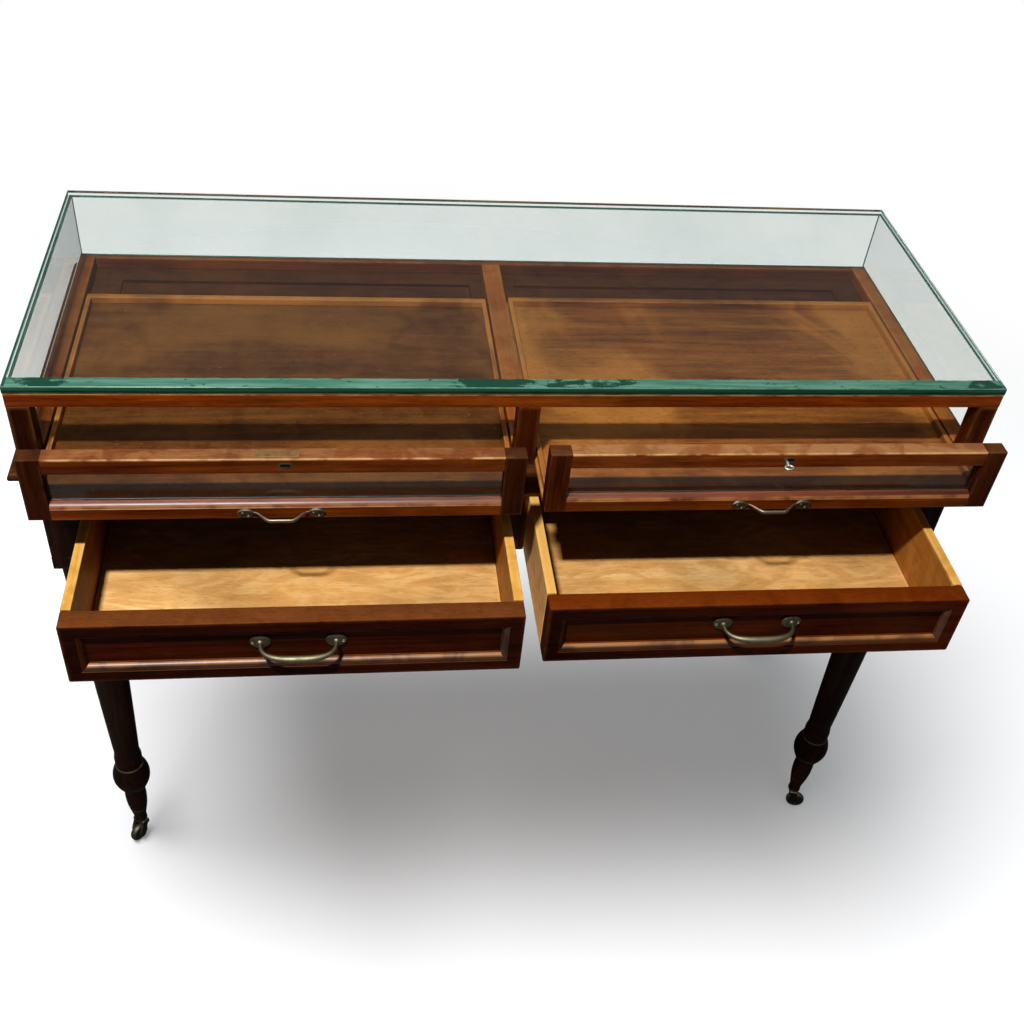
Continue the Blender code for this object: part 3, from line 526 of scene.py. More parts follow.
mahogany = {axis: woodFinish("mahogany_" + axis, mahoganyLook, axis) for axis in "xyz"}
frameWood = {axis: woodFinish("frameWood_" + axis, frameLook, axis) for axis in "xz"}
frontWood = {"left": woodFinish("milkyFrontWood", milkySheenFrontLook, "x"),
             "right": woodFinish("frontWood", frontLook, "x")}
moulded = woodFinish("moulded", mouldLook, "x")
trayWood = {axis: woodFinish("trayWood_" + axis, trayLook, axis) for axis in "xy"}
pine = {axis: woodFinish("pine_" + axis, pineLook, axis) for axis in "xy"}
sidePine = woodFinish("sidePine", shadedPineLook, "y")
legWood = woodFinish("legWood", legLook, "z")
plateGlass = glassFinish("plateGlass", glassLook)
frontEdge = glassEdgeFinish("glassFrontEdge", frontEdgeLook)
paneEdge = glassEdgeFinish("glassPaneEdge", paneEdgeLook)
groundGlass = mottledFinish("groundGlass", groundLook)
oldFilm = filmFinish("oldFilm", filmLook)
brass = metalFinish("dullBrass", brassLook)
pewter = metalFinish("wornPewter", pewterLook)
casterMetal = metalFinish("casterMetal", casterLook)
lockBrass = metalFinish("lockBrass", plateLook)
keySteel = metalFinish("keySteel", keyLook)
keyholeShadow = mottledFinish("keyholeShadow", keyholeShadowLook)
print("finishes made")


# Surfaces as arrays: each returns its points, faces, wear per point and material number per face

meshing = {"weld": 0.000001, "sharp": 32.0}      # metres, degrees


def quarter(count):
    return np.linspace(0.0, math.pi / 2.0, count)


def circle(count):
    return np.linspace(0.0, 2.0 * math.pi, count, endpoint=False)


def eased(share):
    # 3 t^2 - 2 t^3
    return share * share * (3.0 - 2.0 * share)


def unit(vectors):
    return vectors / np.linalg.norm(vectors, axis=1)[:, None]


def quarterSink(rim, radius):
    # Drop of a quarter round: radius - sqrt(radius^2 - (radius - distance)^2), none beyond the radius.
    near = np.clip(rim, 0.0, radius)
    return radius - np.sqrt(np.maximum(radius ** 2 - (radius - near) ** 2, 0.0))


def facesOf(index, closedRows=False, closedColumns=False):
    # Four-cornered faces between neighbours in a grid of point numbers.
    if closedRows:
        index = np.vstack([index, index[:1]])
    if closedColumns:
        index = np.hstack([index, index[:, :1]])
    corners = [index[:-1, :-1], index[1:, :-1], index[1:, 1:], index[:-1, 1:]]
    return np.stack(corners, -1).reshape(-1, 4)


def rimLoop(index):
    # The point numbers round the outside of a grid, in order.
    return np.concatenate([index[:-1, 0], index[-1, :-1], index[:0:-1, -1], index[0, :0:-1]])


def surface(points, faces, wear=0.0, part=0):
    points = np.asarray(points, float).reshape(-1, 3)
    return {"points": points, "faces": [[int(corner) for corner in face] for face in faces],
            "wear": np.broadcast_to(np.ravel(wear).astype(float), len(points)).copy(),
            "part": np.broadcast_to(np.ravel(part).astype(int), len(faces)).copy()}


def joined(*pieces):
    starts = np.cumsum([0] + [len(piece["points"]) for piece in pieces]).tolist()
    whole = {key: np.concatenate([piece[key] for piece in pieces]) for key in ("points", "wear", "part")}
    whole["faces"] = []
    for start, piece in zip(starts, pieces):
        whole["faces"] += [[corner + start for corner in face] for face in piece["faces"]]
    return whole


def moved(piece, matrix):
    turn = np.array(matrix)
    return dict(piece, points=piece["points"] @ turn[:3, :3].T + turn[:3, 3])


def faceMiddles(piece):
    return np.array([piece["points"][face].mean(0) for face in piece["faces"]])


def edgeLines(length, edge, band):
    # Places across a board: a quarter circle's worth at each edge, then where the edge wear ends.
    near = edge * (1.0 - np.cos(quarter(5)))
    if band < length / 2.0:
        near = np.append(near, band)
    return np.concatenate([near, length - near[::-1]])


def slab(low, high, edge, band=0.005):
    # Two facing sheets joined by a wall. Both sheets drop at their rim by a quarter round of the edge's
    # radius, so every long edge is rounded.
    low, high = np.array(low), np.array(high)
    size = high - low
    thin = int(np.argmin(size))
    one, two = [axis for axis in range(3) if axis != thin]
    u, v = np.meshgrid(edgeLines(size[one], edge, band), edgeLines(size[two], edge, band), indexing="ij")
    index = np.arange(u.size).reshape(u.shape)
    u, v = u.ravel(), v.ravel()
    rim = np.minimum(np.minimum(u, size[one] - u), np.minimum(v, size[two] - v))
    sink = quarterSink(rim, edge)
    loop = rimLoop(index)
    walls = [size[thin] - band, band] if band < size[thin] / 2.0 else []
    between = [2 * len(u) + i * len(loop) + np.arange(len(loop)) for i in range(len(walls))]
    points = np.zeros((2 * len(u) + len(walls) * len(loop), 3))
    points[:, one] = np.concatenate([u, u] + [u[loop]] * len(walls))
    points[:, two] = np.concatenate([v, v] + [v[loop]] * len(walls))
    depths = [np.full(len(loop), depth) for depth in walls]
    points[:, thin] = np.concatenate([size[thin] - sink, sink] + depths)
    worn = rim <= edge * 1.0001
    wear = np.concatenate([worn, worn, np.zeros(len(walls) * len(loop))])
    sheet = facesOf(index)
    rounded = rim[sheet].min(1) < edge * 0.999
    wall = facesOf(np.stack([loop, *between, loop + len(u)]), closedColumns=True)
    part = np.concatenate([rounded, rounded, np.ones(len(wall))])
    return surface(points + low, np.vstack([sheet, sheet + len(u), wall]), wear, part)


def loft(rings, wear=0.0, part=0, closed=False):
    # Closed rings of points joined each to the next. Either the last is joined to the first, or a face
    # closes each end.
    rings = np.asarray(rings, float)
    index = np.arange(rings.shape[0] * rings.shape[1]).reshape(rings.shape[:2])
    faces = facesOf(index, closed, True).tolist()
    if not closed:
        faces += [index[0].tolist(), index[-1].tolist()]
    return surface(rings, faces, np.broadcast_to(wear, rings.shape[:2]), part)


def rectangleRings(low, high, insets, depths, corner, steps):
    # One ring for each pair of inset and depth: the rectangle in x and z drawn in by the inset, its
    # corners rounded by what the inset leaves of the corner's radius, set back along y by the depth.
    insets, depths = insets[:, None], depths[:, None]
    start = np.repeat(np.radians([180.0, 270.0, 0.0, 90.0]), steps + 1)
    angle = start + np.tile(quarter(steps + 1), 4)
    right = np.repeat([False, True, True, False], steps + 1)
    above = np.repeat([False, False, True, True], steps + 1)
    radius = np.maximum(corner - insets, 0.0)
    x = np.where(right, high[0] - insets - radius, low[0] + insets + radius) + radius * np.cos(angle)
    z = np.where(above, high[2] - insets - radius, low[2] + insets + radius) + radius * np.sin(angle)
    return np.stack([x, low[1] + depths + 0.0 * x, z], -1)


def tube(path, wide, tall, sides=20, closed=False, wear=0.0):
    # An ellipse carried along the path square to it, its wide axis level and its tall axis upright.
    ahead = unit(np.roll(path, -1, 0) - np.roll(path, 1, 0) if closed else np.gradient(path, axis=0))
    side = unit(np.cross(ahead, (0.0, 0.0, 1.0)))
    lift = np.cross(side, ahead)
    angle = circle(sides)[:, None]
    wide, tall = (np.broadcast_to(reach, len(path))[:, None, None] for reach in (wide, tall))
    rings = path[:, None] + wide * np.cos(angle) * side[:, None] + tall * np.sin(angle) * lift[:, None]
    return loft(rings, np.reshape(wear, (-1, 1)), closed=closed)


def turned(radii, heights, sides=48, wear=0.0, stretch=1.0, closed=False):
    # A profile of radius against height carried round the z axis; stretch makes it oval along x.
    radii, heights = np.reshape(radii, (-1, 1)), np.reshape(heights, (-1, 1))
    angle = circle(sides)
    rings = np.stack([radii * np.cos(angle) * stretch, radii * np.sin(angle), heights + 0.0 * angle], -1)
    return loft(rings, np.reshape(wear, (-1, 1)), closed=closed)


def dome(radius, height, stretch=1.0, wear=0.6, upright=0.18):
    # A low cap: radius times the cosine of a quarter turn against height times its sine, on a flat foot
    # with a short upright wall.
    angle = quarter(9)
    radii = np.concatenate([[0.0, radius], radius * np.cos(angle)])
    heights = np.concatenate([[0.0, 0.0], height * (upright + (1.0 - upright) * np.sin(angle))])
    return turned(radii, heights, 36, wear, stretch)


def put(name, made, body, finishes, tone=1.0, fade=0.0, rub=1.0, stands=()):
    # Welds the surface into a mesh object that rides on a body and may stand for CAD nodes.
    mesh = bpy.data.meshes.new(name)
    mesh.from_pydata(made["points"].tolist(), [], made["faces"])
    for finish in finishes:
        mesh.materials.append(finish)
    part = np.minimum(made["part"], len(finishes) - 1)
    mesh.polygons.foreach_set("material_index", part.astype(np.int32))
    for key, value in {"wear": made["wear"] * rub, "tone": tone, "fade": fade}.items():
        values = np.full(len(made["points"]), value, np.float32)
        mesh.attributes.new(key, "FLOAT", "POINT").data.foreach_set("value", values)
    bm = bmesh.new()
    bm.from_mesh(mesh)
    bmesh.ops.remove_doubles(bm, verts=bm.verts, dist=meshing["weld"])
    bmesh.ops.dissolve_degenerate(bm, edges=bm.edges, dist=meshing["weld"])
    bmesh.ops.recalc_face_normals(bm, faces=bm.faces)
    bm.to_mesh(mesh)
    bm.free()
    mesh.shade_smooth()
    mesh.set_sharp_from_angle(angle=math.radians(meshing["sharp"]))
    piece = newItem(name, mesh)
    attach(piece, body)
    if stands:
        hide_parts(*stands)


def camel(node):
    first, *rest = node.split("_")
    return first + "".join(word.capitalize() for word in rest)


def standFor(node, made, body, slot, finishes, tone=1.0, fade=0.0, rub=1.0):
    put(camel(node), made, body, finishes, tone, fade, rub, [node])


def nodeBox(node):
    low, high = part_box(node)
    return np.array(low), np.array(high)


def facing(spot):
    # Turns what was made looking up along z to look forwards, and sets it at the spot.
    return Matrix.Translation(spot) @ Matrix.Rotation(math.pi / 2.0, 4, "X")


# Glass of the upper case

topPlate = {"edge": 0.0009, "band": 0.0018}
uprightPanes = {"nodes": ["end_pane_left", "end_pane_right", "back_pane"], "edge": 0.0006, "band": 0.0028,
                "ground": 0.0001}
filmStrip = {"depth": 0.028, "thick": 0.0002, "lift": 0.00005, "ragged": 0.009}


def buildTopPlate(look):
    # The front edge is green, the arrises of the other three are dark lines and their walls clear.
    low, high = nodeBox("glass_top")
    plate = slab(low, high, look["edge"], look["band"])
    middles = faceMiddles(plate)
    front = middles[:, 1] < low[1] + look["edge"]
    upright = np.abs(middles[:, 2] - (low[2] + high[2]) / 2.0) < (high[2] - low[2]) / 2.0 - look["edge"]
    plate["part"] = np.where(plate["part"] == 0, 0, np.where(front, 1, np.where(upright, 0, 2)))
    standFor("glass_top", plate, "cabinet", "glass", [plateGlass, frontEdge, paneEdge])


def buildPanes(look):
    # The outer half of an end pane's top edge is ground pale.
    for node in look["nodes"]:
        low, high = nodeBox(node)
        pane = slab(low, high, look["edge"], look["band"])
        middles = faceMiddles(pane)
        outside = np.abs(middles[:, 0]) > np.abs(low[0] + high[0]) / 2.0 + look["ground"]
        above = (middles[:, 2] > high[2] - look["edge"]) & (pane["part"] == 1) & (node != "back_pane")
        pane["part"] = np.where(above & outside, 2, pane["part"])
        standFor(node, pane, "cabinet", "glass", [plateGlass, paneEdge, groundGlass])


def buildFilm(look):
    # A thin sheet under the front of the glass. Its wear is 1 at the back edge and falls evenly to 0.
    low, high = nodeBox("front_top_rail")
    bottom = high[2] + look["lift"]
    back = low[1] + look["depth"]
    strip = slab((low[0], low[1], bottom), (high[0], back, bottom + look["thick"]), 0.0)
    strip["wear"] = np.clip(1.0 - (back - strip["points"][:, 1]) / look["ragged"], 0.0, 1.0)
    put("glassFilm", strip, "cabinet", [oldFilm])


buildTopPlate(topPlate)
buildPanes(uprightPanes)
buildFilm(filmStrip)
print("glass set")


# Boards of the case

caseBoards = {               # grain, tone, how far the top fades and takes a painted sheen, how far the edges are rubbed
    "front_top_rail": ("x", 0.90, 0.5, 1.1),
    "front_post_left": ("z", 0.11, 0.2, 0.12),
    "front_post_centre": ("z", 0.30, 0.2, 0.12),
    "front_post_right": ("z", 0.28, 0.2, 0.15),
    "sill_left": ("y", 0.65, 0.20, 0.15),
    "sill_right": ("y", 1.10, 0.50, 0.25),
    "sill_back": ("x", 0.60, 0.20, 0.15),
    "tray_divider": ("y", 1.10, 0.45, 0.20),
    "frieze_rail": ("x", 0.25, 0.1, 0.2),
    "end_panel_left": ("y", 0.60, 0.1, 0.3),
    "end_panel_right": ("y", 0.60, 0.1, 0.3),
    "case_back": ("x", 0.60, 0.1, 0.3),
    "drawer_partition": ("y", 0.25, 0.1, 0.2),
    "drawer_floor": ("x", 0.50, 0.1, 0.3),
}
boardEdge = 0.0010
rearBoard = {"reach": 0.0110, "ledge": 0.6827, "gap": 0.0003}
waist = {"flat": 0.0008, "stile": 0.081, "muntin": 0.034, "front": 0.0735, "back": 0.046, "sunk": 0.004,
         "wall": 0.0008, "wornTo": 0.8, "tone": 0.19, "fade": 0.08, "rub": 0.05}


def rubbedTop(low, high, edge, band=0.0025):
    # A rail worn only along the top edge of its face.
    rail = slab(low, high, edge, band)
    far = np.maximum(rail["points"][:, 1] - low[1], high[2] - rail["points"][:, 2])
    rail["wear"] *= far <= edge * 1.01
    return rail


def backBoard(low, high, edge):
    # A wide board that fills the rear legs' rebates, and a narrower one between the blocks below.
    reach = np.array((rearBoard["reach"], 0.0, 0.0))
    wideLow, narrowHigh = low - reach, high.copy()
    wideLow[2] = rearBoard["ledge"] + rearBoard["gap"]
    narrowHigh[2] = rearBoard["ledge"]
    return joined(slab(wideLow, high + reach, edge), slab(low, narrowHigh, edge))


def buildCase():
    shapes = {"front_top_rail": rubbedTop, "case_back": backBoard}
    for node, (grain, *look) in caseBoards.items():
        made = shapes.get(node, slab)(*nodeBox(node), boardEdge)
        standFor(node, made, "cabinet", "mahogany", [mahogany[grain]], *look)


def buildWaist(look):
    # Two sheets over one grid of x and y. Both roll to the middle of the thickness at the front and
    # ends, by the same quarter round as a board's edge, and the upper one steps down over the panels.
    low, high = nodeBox("waist_board")
    radius = (high[2] - low[2] - look["flat"]) / 2.0
    roll = radius * (1.0 - np.cos(quarter(8)))
    inner, step = high[0] - look["stile"], look["wall"]
    breaks = np.array([look["muntin"], look["muntin"] + step, inner - step, inner])
    front, back = low[1] + look["front"], high[1] - look["back"]
    x = np.concatenate([low[0] + roll, -breaks[::-1], breaks, high[0] - roll[::-1]])
    y = np.concatenate([low[1] + roll, [front, front + step, back - step, back, high[1]]])
    x, y = np.meshgrid(x, y, indexing="ij")
    out = np.abs(x)
    rim = np.minimum(high[0] - out, y - low[1])
    sink = quarterSink(rim, radius)
    inside = np.minimum(np.minimum(out - look["muntin"], inner - out), np.minimum(y - front, back - y))
    panel = np.clip(inside / step, 0.0, 1.0)
    upper = np.stack([x, y, high[2] - sink - look["sunk"] * panel], -1)
    lower = np.stack([x, y, low[2] + sink], -1)
    index = np.arange(x.size).reshape(x.shape)
    loop = rimLoop(index)
    wall = facesOf(np.stack([loop, loop + x.size]), closedColumns=True)
    faces = np.vstack([facesOf(index), facesOf(index) + x.size, wall])
    wear = np.stack([rim, rim]) < radius * look["wornTo"]
    standFor("waist_board", surface([upper, lower], faces, wear), "cabinet", "mahogany", [mahogany["x"]],
             look["tone"], look["fade"], look["rub"])


buildCase()
buildWaist(waist)
print("case boards set")


# Trays

trayFrame = {
    "mould": 0.0068,         # height of the moulding along the bottom rail
    "fillet": 0.0004,        # small step before its quarter round
    "depth": 0.0091,
    "edge": 0.0008, "band": 0.0025,
    "wearTo": 0.001,         # how far the wear runs onto the face
    "footWear": 0.15, "curveWear": 0.7,
    # The left tray's stiles take a lower tone as painted shade
    "stileTone": {"left": 0.15, "right": 0.30}, "topTone": {"left": 0.55, "right": 0.72}, "footTone": 0.68,
    "rub": 0.85, "stileRub": 0.05, "fade": {"left": 0.46, "right": 0.95}, "stileFade": 0.12,
}
trayBox = {
    "edge": 0.0008, "floorTone": {"left": 0.45, "right": 1.2}, "fade": 0.15, "rub": 0.6,
    "side": 0.006, "back": 0.009, "band": 0.002, "rimTone": 1.5, "rimFade": 0.4, "rimRub": 0.3,
}
trayPane = {"edge": 0.0004, "band": 0.0012}


def ovolo(start, depth, width, tall):
    # A quarter round in plan: the inset grows with the sine, the depth with one minus the cosine.
    angle = quarter(8)
    return start + width * np.sin(angle), depth + tall * (1.0 - np.cos(angle))


def bottomRail(low, high, look):
    # A section of depth and height carried along x: the face, a small step, a quarter round that rolls
    # back to the pane, and the bed that the pane stands on, dark as painted shade.
    step, edge, clear = look["fillet"], look["edge"], look["wearTo"]
    shoulder = high[2] - look["mould"]
    thick = high[1] - low[1]
    angle = quarter(5)
    curve, sink = ovolo(step, step, look["mould"] - step, look["depth"] - step)
    depth = np.concatenate([[thick, thick], edge * (1.0 - np.sin(angle)), [0.0, 0.0, 0.0], sink, [thick]])
    face = [low[2] + edge + clear, shoulder - clear, shoulder]
    height = np.concatenate([[high[2], low[2]], low[2] + edge * (1.0 - np.cos(angle)), face,
                             shoulder + curve, [high[2]]])
    # Wear of the back, lower edge, face, start of the curve and rest; finish of face, curve, bed and ends
    wear = np.repeat([0.0, look["footWear"], 0.0, look["curveWear"], 0.0], [2, 5, 2, 4, 6])
    part = np.repeat([0, 1, 2, 0], [9, 8, 1, 3])
    rings = [np.stack([x + 0.0 * depth, low[1] + depth, height], -1) for x in (low[0], high[0])]
    return loft(rings, wear, part)


def buildTrayFrame(side, look):
    body = "tray_" + side
    for end in "ab":
        node = body + "_stile_" + end
        standFor(node, slab(*nodeBox(node), look["edge"], look["band"]), body, "mahogany", [frameWood["z"]],
                 look["stileTone"][side], look["stileFade"], look["stileRub"])
    node = body + "_top_rail"
    rail = rubbedTop(*nodeBox(node), look["edge"], look["band"])
    standFor(node, rail, body, "mahogany", [frameWood["x"]], look["topTone"][side], look["fade"][side],
             look["rub"])
    node = body + "_bottom_rail"
    # The bed takes the dark leg wood as painted shade behind the pane's foot
    standFor(node, bottomRail(*nodeBox(node), look), body, "mahogany", [frameWood["x"], moulded, legWood],
             look["footTone"], 0.0, look["rub"])


def buildTrayBox(side, look):
    body = "tray_" + side
    node = body + "_bottom"
    standFor(node, slab(*nodeBox(node), look["edge"]), body, "tray_wood", [trayWood["x"]],
             look["floorTone"][side], look["fade"], look["rub"])
    node = body + "_rim"
    low, high = nodeBox(node)
    inner = high[1] - look["back"]
    edges = look["edge"], look["band"]
    left = slab(low, (low[0] + look["side"], inner, high[2]), *edges)
    right = slab((high[0] - look["side"], low[1], low[2]), (high[0], inner, high[2]), *edges)
    back = slab((low[0], inner, low[2]), high, *edges)
    for board, finish in ((left, 0), (right, 0), (back, 1)):
        board["part"][:] = finish
    standFor(node, joined(left, right, back), body, "tray_wood", [trayWood["y"], trayWood["x"]],
             look["rimTone"], look["rimFade"], look["rimRub"])


def buildTrayPane(side, look):
    node = "tray_" + side + "_pane"
    pane = slab(*nodeBox(node), **look)
    standFor(node, pane, "tray_" + side, "glass", [plateGlass, paneEdge], rub=0.0)


for side in ("left", "right"):
    buildTrayFrame(side, trayFrame)
    buildTrayBox(side, trayBox)
    buildTrayPane(side, trayPane)
print("trays set")


# Drawers

drawerFront = {
    "arris": 0.0016, "corner": 0.0025, "cornerSteps": 4,
    "margin": 0.0165, "wearTo": 0.00495,
    "fillet": 0.0010, "filletRun": 0.0006,   # depth and width of the step before the quarter round
    "curveWide": 0.0074, "curveDeep": 0.0062,
    "lip": 0.0012, "panel": 0.0084, "slope": 0.0003,
    "tone": 0.18, "fade": {"left": 0.76, "right": 0.85}, "arrisWear": 0.15, "mouldWear": 0.08,
    "shade": {"left": (0.36, 0.80), "right": (0.42, 1.25)},     # painted shade and light: tone of the margin and moulding at the left and right end
    "polished": 14,                          # of the ring's 20 faces: those along the foot and right end
}
drawerBox = {
    "edge": 0.0010, "rub": 0.6,
    "pieces": {              # finish and tone in the left drawer and in the right, how far the top fades and takes a painted sheen; the shaded pine and tones below 1 on the sides are painted shade
        "side_a": {"left": (sidePine, 0.42), "right": (pine["y"], 1.0), "fade": 0.9},
        "side_b": {"left": (sidePine, 0.75), "right": (sidePine, 0.78), "fade": 0.9},
        "bottom": {"left": (pine["x"], 1.0), "right": (pine["x"], 0.95), "fade": 0.0},
        "back": {"left": (pine["x"], 0.6), "right": (pine["x"], 0.6), "fade": 0.5},
    },
}


def buildDrawerFront(side, look):
    # Rings from the back edge round the arris, over the margin, down the quarter round and the lip to
    # the panel, with the back and the panel closed by a face each.
    node = "drawer_" + side + "_front"
    low, high = nodeBox(node)
    thick = high[1] - low[1]
    arris, margin, step = look["arris"], look["margin"], look["fillet"]
    angle = quarter(6)
    curve, sink = ovolo(margin + look["filletRun"], step, look["curveWide"], look["curveDeep"])
    end = curve[-1] + look["lip"]
    insets = np.concatenate([[arris, 0.0], arris * (1.0 - np.cos(angle)), [look["wearTo"], margin, margin],
                             curve, [end, end + look["slope"]]])
    depths = np.concatenate([[thick, thick - arris], arris * (1.0 - np.sin(angle)), [0.0, 0.0, step],
                             sink, [sink[-1], look["panel"]]])
    rings = rectangleRings(low, high, insets, depths, look["corner"], look["cornerSteps"])
    # Rings of the back, arris, margin, curve and panel
    counts = [2, len(angle), 3, len(curve), 2]
    worn = np.repeat([0.0, look["arrisWear"], 0.0, look["mouldWear"], 0.0], counts)
    first = sum(counts[:3])
    last = first + len(curve)
    moulding = np.zeros((len(rings) - 1, rings.shape[1]), bool)
    moulding[first:last, :look["polished"]] = True
    tone = np.full(rings.shape[:2], look["tone"])
    # Painted shade and light: the margin and moulding toned by end, mostly darker at the left
    leftHalf = rings[0, :, 0] < (low[0] + high[0]) / 2.0
    tone[sum(counts[:2]) - 1:last] *= np.where(leftHalf, *look["shade"][side])
    front = loft(rings, worn[:, None], np.append(moulding, [False, False]))
    standFor(node, front, "drawer_" + side, "mahogany", [frontWood[side], moulded], tone.ravel(),
             look["fade"][side])


def buildDrawerBox(side, look):
    body = "drawer_" + side
    for part, piece in look["pieces"].items():
        node = body + "_" + part
        finish, tone = piece[side]
        board = slab(*nodeBox(node), look["edge"])
        standFor(node, board, body, "pine", [finish], tone, piece["fade"], look["rub"])


for side in ("left", "right"):
    buildDrawerFront(side, drawerFront)
    buildDrawerBox(side, drawerBox)
print("drawers set")


# Legs and casters

leg = {
    "block": 0.066, "foot": 0.0227, "rebate": 0.0113, "edge": 0.0018, "sides": 56,
    "length": 0.610, "shy": 0.0012, "ankle": 0.0188, "ankleHeight": 0.179, "curve": 0.88,
    "members": [             # top, foot, radius at each, swell, points
        (0.174, 0.152, 0.0198, 0.0198, 0.0012, 16),
        (0.150, 0.085, 0.0202, 0.0172, 0.0098, 110),
        (0.080, 0.018, 0.0162, 0.0116, 0.0022, 90),
        (0.012, 0.000, 0.0105, 0.0105, -0.0006, 8),
    ],
    "scribed": [0.148, 0.102, 0.031], "scribeDepth": 0.0006, "scribeWidth": 0.0010,
    "tone": 0.6, "blockWear": 0.12,
}
corners = {                  # the caster's swivel at rest, in degrees
    "front_left": -38.0, "front_right": 76.0, "rear_left": 24.0, "rear_right": -52.0,
}


def legProfile(look):
    # Taper: radius = ankle + (top - ankle) times share to the curve's power. Below it each member runs
    # straight between its radii with half a sine wave of swell. Each scribed line is a bell-shaped groove.
    share = np.linspace(1.0, 0.0, 30)
    top = look["block"] / 2.0 - look["shy"]
    radii = [look["ankle"] + (top - look["ankle"]) * share ** look["curve"]]
    heights = [look["ankleHeight"] + (look["length"] - look["ankleHeight"]) * share]
    for high, low, topRadius, footRadius, swell, count in look["members"]:
        along = np.linspace(0.0, 1.0, count)
        radii.append(topRadius + (footRadius - topRadius) * along + swell * np.sin(math.pi * along))
        heights.append(high + (low - high) * along)
    radii, heights = np.concatenate(radii), np.concatenate(heights)
    away = (heights[:, None] - np.array(look["scribed"])) / look["scribeWidth"]
    scribe = np.exp(-away ** 2).max(1)
    return [np.append(row, 0.0) for row in (radii - look["scribeDepth"] * scribe, heights, scribe)]


def buildLeg(corner, look):
    # The turned column, the block over it, and the block's upper part, narrower by the rebate.
    node = "leg_" + corner
    low, high = nodeBox(node)
    middle = (low + high) / 2.0
    radii, heights, scribe = legProfile(look)
    column = turned(radii, heights, look["sides"], scribe)
    column = moved(column, Matrix.Translation((middle[0], middle[1], low[2])))
    foot = low[2] + look["length"]
    ledge = foot + look["foot"]
    block = slab((low[0], low[1], foot), (high[0], high[1], ledge), look["edge"])
    near, far = low.copy(), high.copy()
    near[2] = ledge
    if middle[0] < 0.0:
        far[0] -= look["rebate"]
    else:
        near[0] += look["rebate"]
    upper = slab(near, far, look["edge"])
    block["wear"] *= look["blockWear"]
    upper["wear"] *= look["blockWear"]
    standFor(node, joined(column, block, upper), "cabinet", "leg_wood", [legWood], look["tone"])


caster = {
    "height": 0.050, "gap": 0.0003, "stem": 0.0050, "stemUp": 0.019,
    "plate": 0.0105, "plateThick": 0.0040,
    "topEase": (0.94, 0.0007), "footEase": (0.90, 0.0010),      # share of the radius, height
    "crown": 0.0107, "crownHalf": 0.00651, "crownUp": 0.0005, "crownEdge": 0.0018,
    "slot": 0.0062, "cheek": 0.0050, "cheekDrop": 0.001, "trail": 0.0090,
    "topHalf": 0.0062, "footHalf": 0.0056,
    "cheekRings": [          # size, share of the thickness, wear
        (0.86, 0.0, 0.1), (0.96, 0.08, 0.6), (1.0, 0.25, 0.7), (1.0, 0.75, 0.7), (0.96, 0.92, 0.6),
        (0.86, 1.0, 0.1)],
    "pin": 0.0024, "pinEnd": 0.7, "pinOut": 0.0006, "pinWear": 0.5, "plateWear": 0.3,
    "wheel": 0.0160, "tread": 0.0112, "round": 0.0036, "faceWear": 0.3, "treadWear": (0.25, 0.7),
    "wheelFace": [           # radius, how far it lies in from the side
        (0.0025, 0.0), (0.0052, 0.0), (0.0060, 0.0012), (0.0105, 0.0012), (0.0114, 0.0003)],
}


def cheekPlate(look):
    # A fork cheek seen from the side: a strip that eases from the crown to the axle, its half width
    # changing on the way, closed by a half circle round the axle; its edges are eased by drawing rings in.
    share = np.linspace(0.0, 1.0, 14)
    top, axle = look["height"] - look["plateThick"] - look["cheekDrop"], look["wheel"]
    y = -look["trail"] * eased(share)
    z = top + (axle - top) * share
    half = look["topHalf"] + (look["footHalf"] - look["topHalf"]) * share
    sweep = np.linspace(0.0, math.pi, 12)[1:-1]
    capY = -look["trail"] + look["footHalf"] * np.cos(sweep)
    capZ = axle - look["footHalf"] * np.sin(sweep)
    outline = np.stack([np.concatenate([y + half, capY, (y - half)[::-1]]),
                        np.concatenate([z, capZ, z[::-1]])], -1)
    centre = outline.mean(0)
    size, depth, wear = np.array(look["cheekRings"]).T[:, :, None]
    flat = centre + size[..., None] * (outline - centre)
    rings = np.stack([look["cheek"] * depth + 0.0 * flat[..., 0], flat[..., 0], flat[..., 1]], -1)
    return loft(rings, wear)


def casterAxle(look):
    # Lays what was turned about z along the wheel's pin.
    return Matrix.Translation((0.0, -look["trail"], look["wheel"])) @ Matrix.Rotation(math.pi / 2.0, 4, "Y")


def casterFork(look):
    # Stem and plate, crown, two cheeks and the pin.
    top = look["height"] - look["gap"]
    under = top - look["plateThick"]
    stem, stemTop, plate = look["stem"], look["height"] + look["stemUp"], look["plate"]
    (topShare, topDown), (footShare, footUp) = look["topEase"], look["footEase"]
    radii = [0.0, stem, stem, plate * topShare, plate, plate, plate * footShare, 0.0]
    heights = [stemTop, stemTop, top, top, top - topDown, under + footUp, under, under]
    across = look["slot"] + look["cheek"]
    half = look["crownHalf"]
    crownLow = (-across, -half, under - look["crown"])
    crown = slab(crownLow, (across, half, under + look["crownUp"]), look["crownEdge"])
    cheeks = [moved(cheekPlate(look), Matrix.Translation((x, 0.0, 0.0))) for x in (look["slot"], -across)]
    pin, end, reach = look["pin"], look["pin"] * look["pinEnd"], across + look["pinOut"]
    rod = turned([0.0, end, pin, pin, end, 0.0], [reach, reach, across, -across, -reach, -reach], 24,
                 look["pinWear"])
    plate = turned(radii, heights, 40, look["plateWear"])
    return joined(plate, crown, *cheeks, moved(rod, casterAxle(look)))


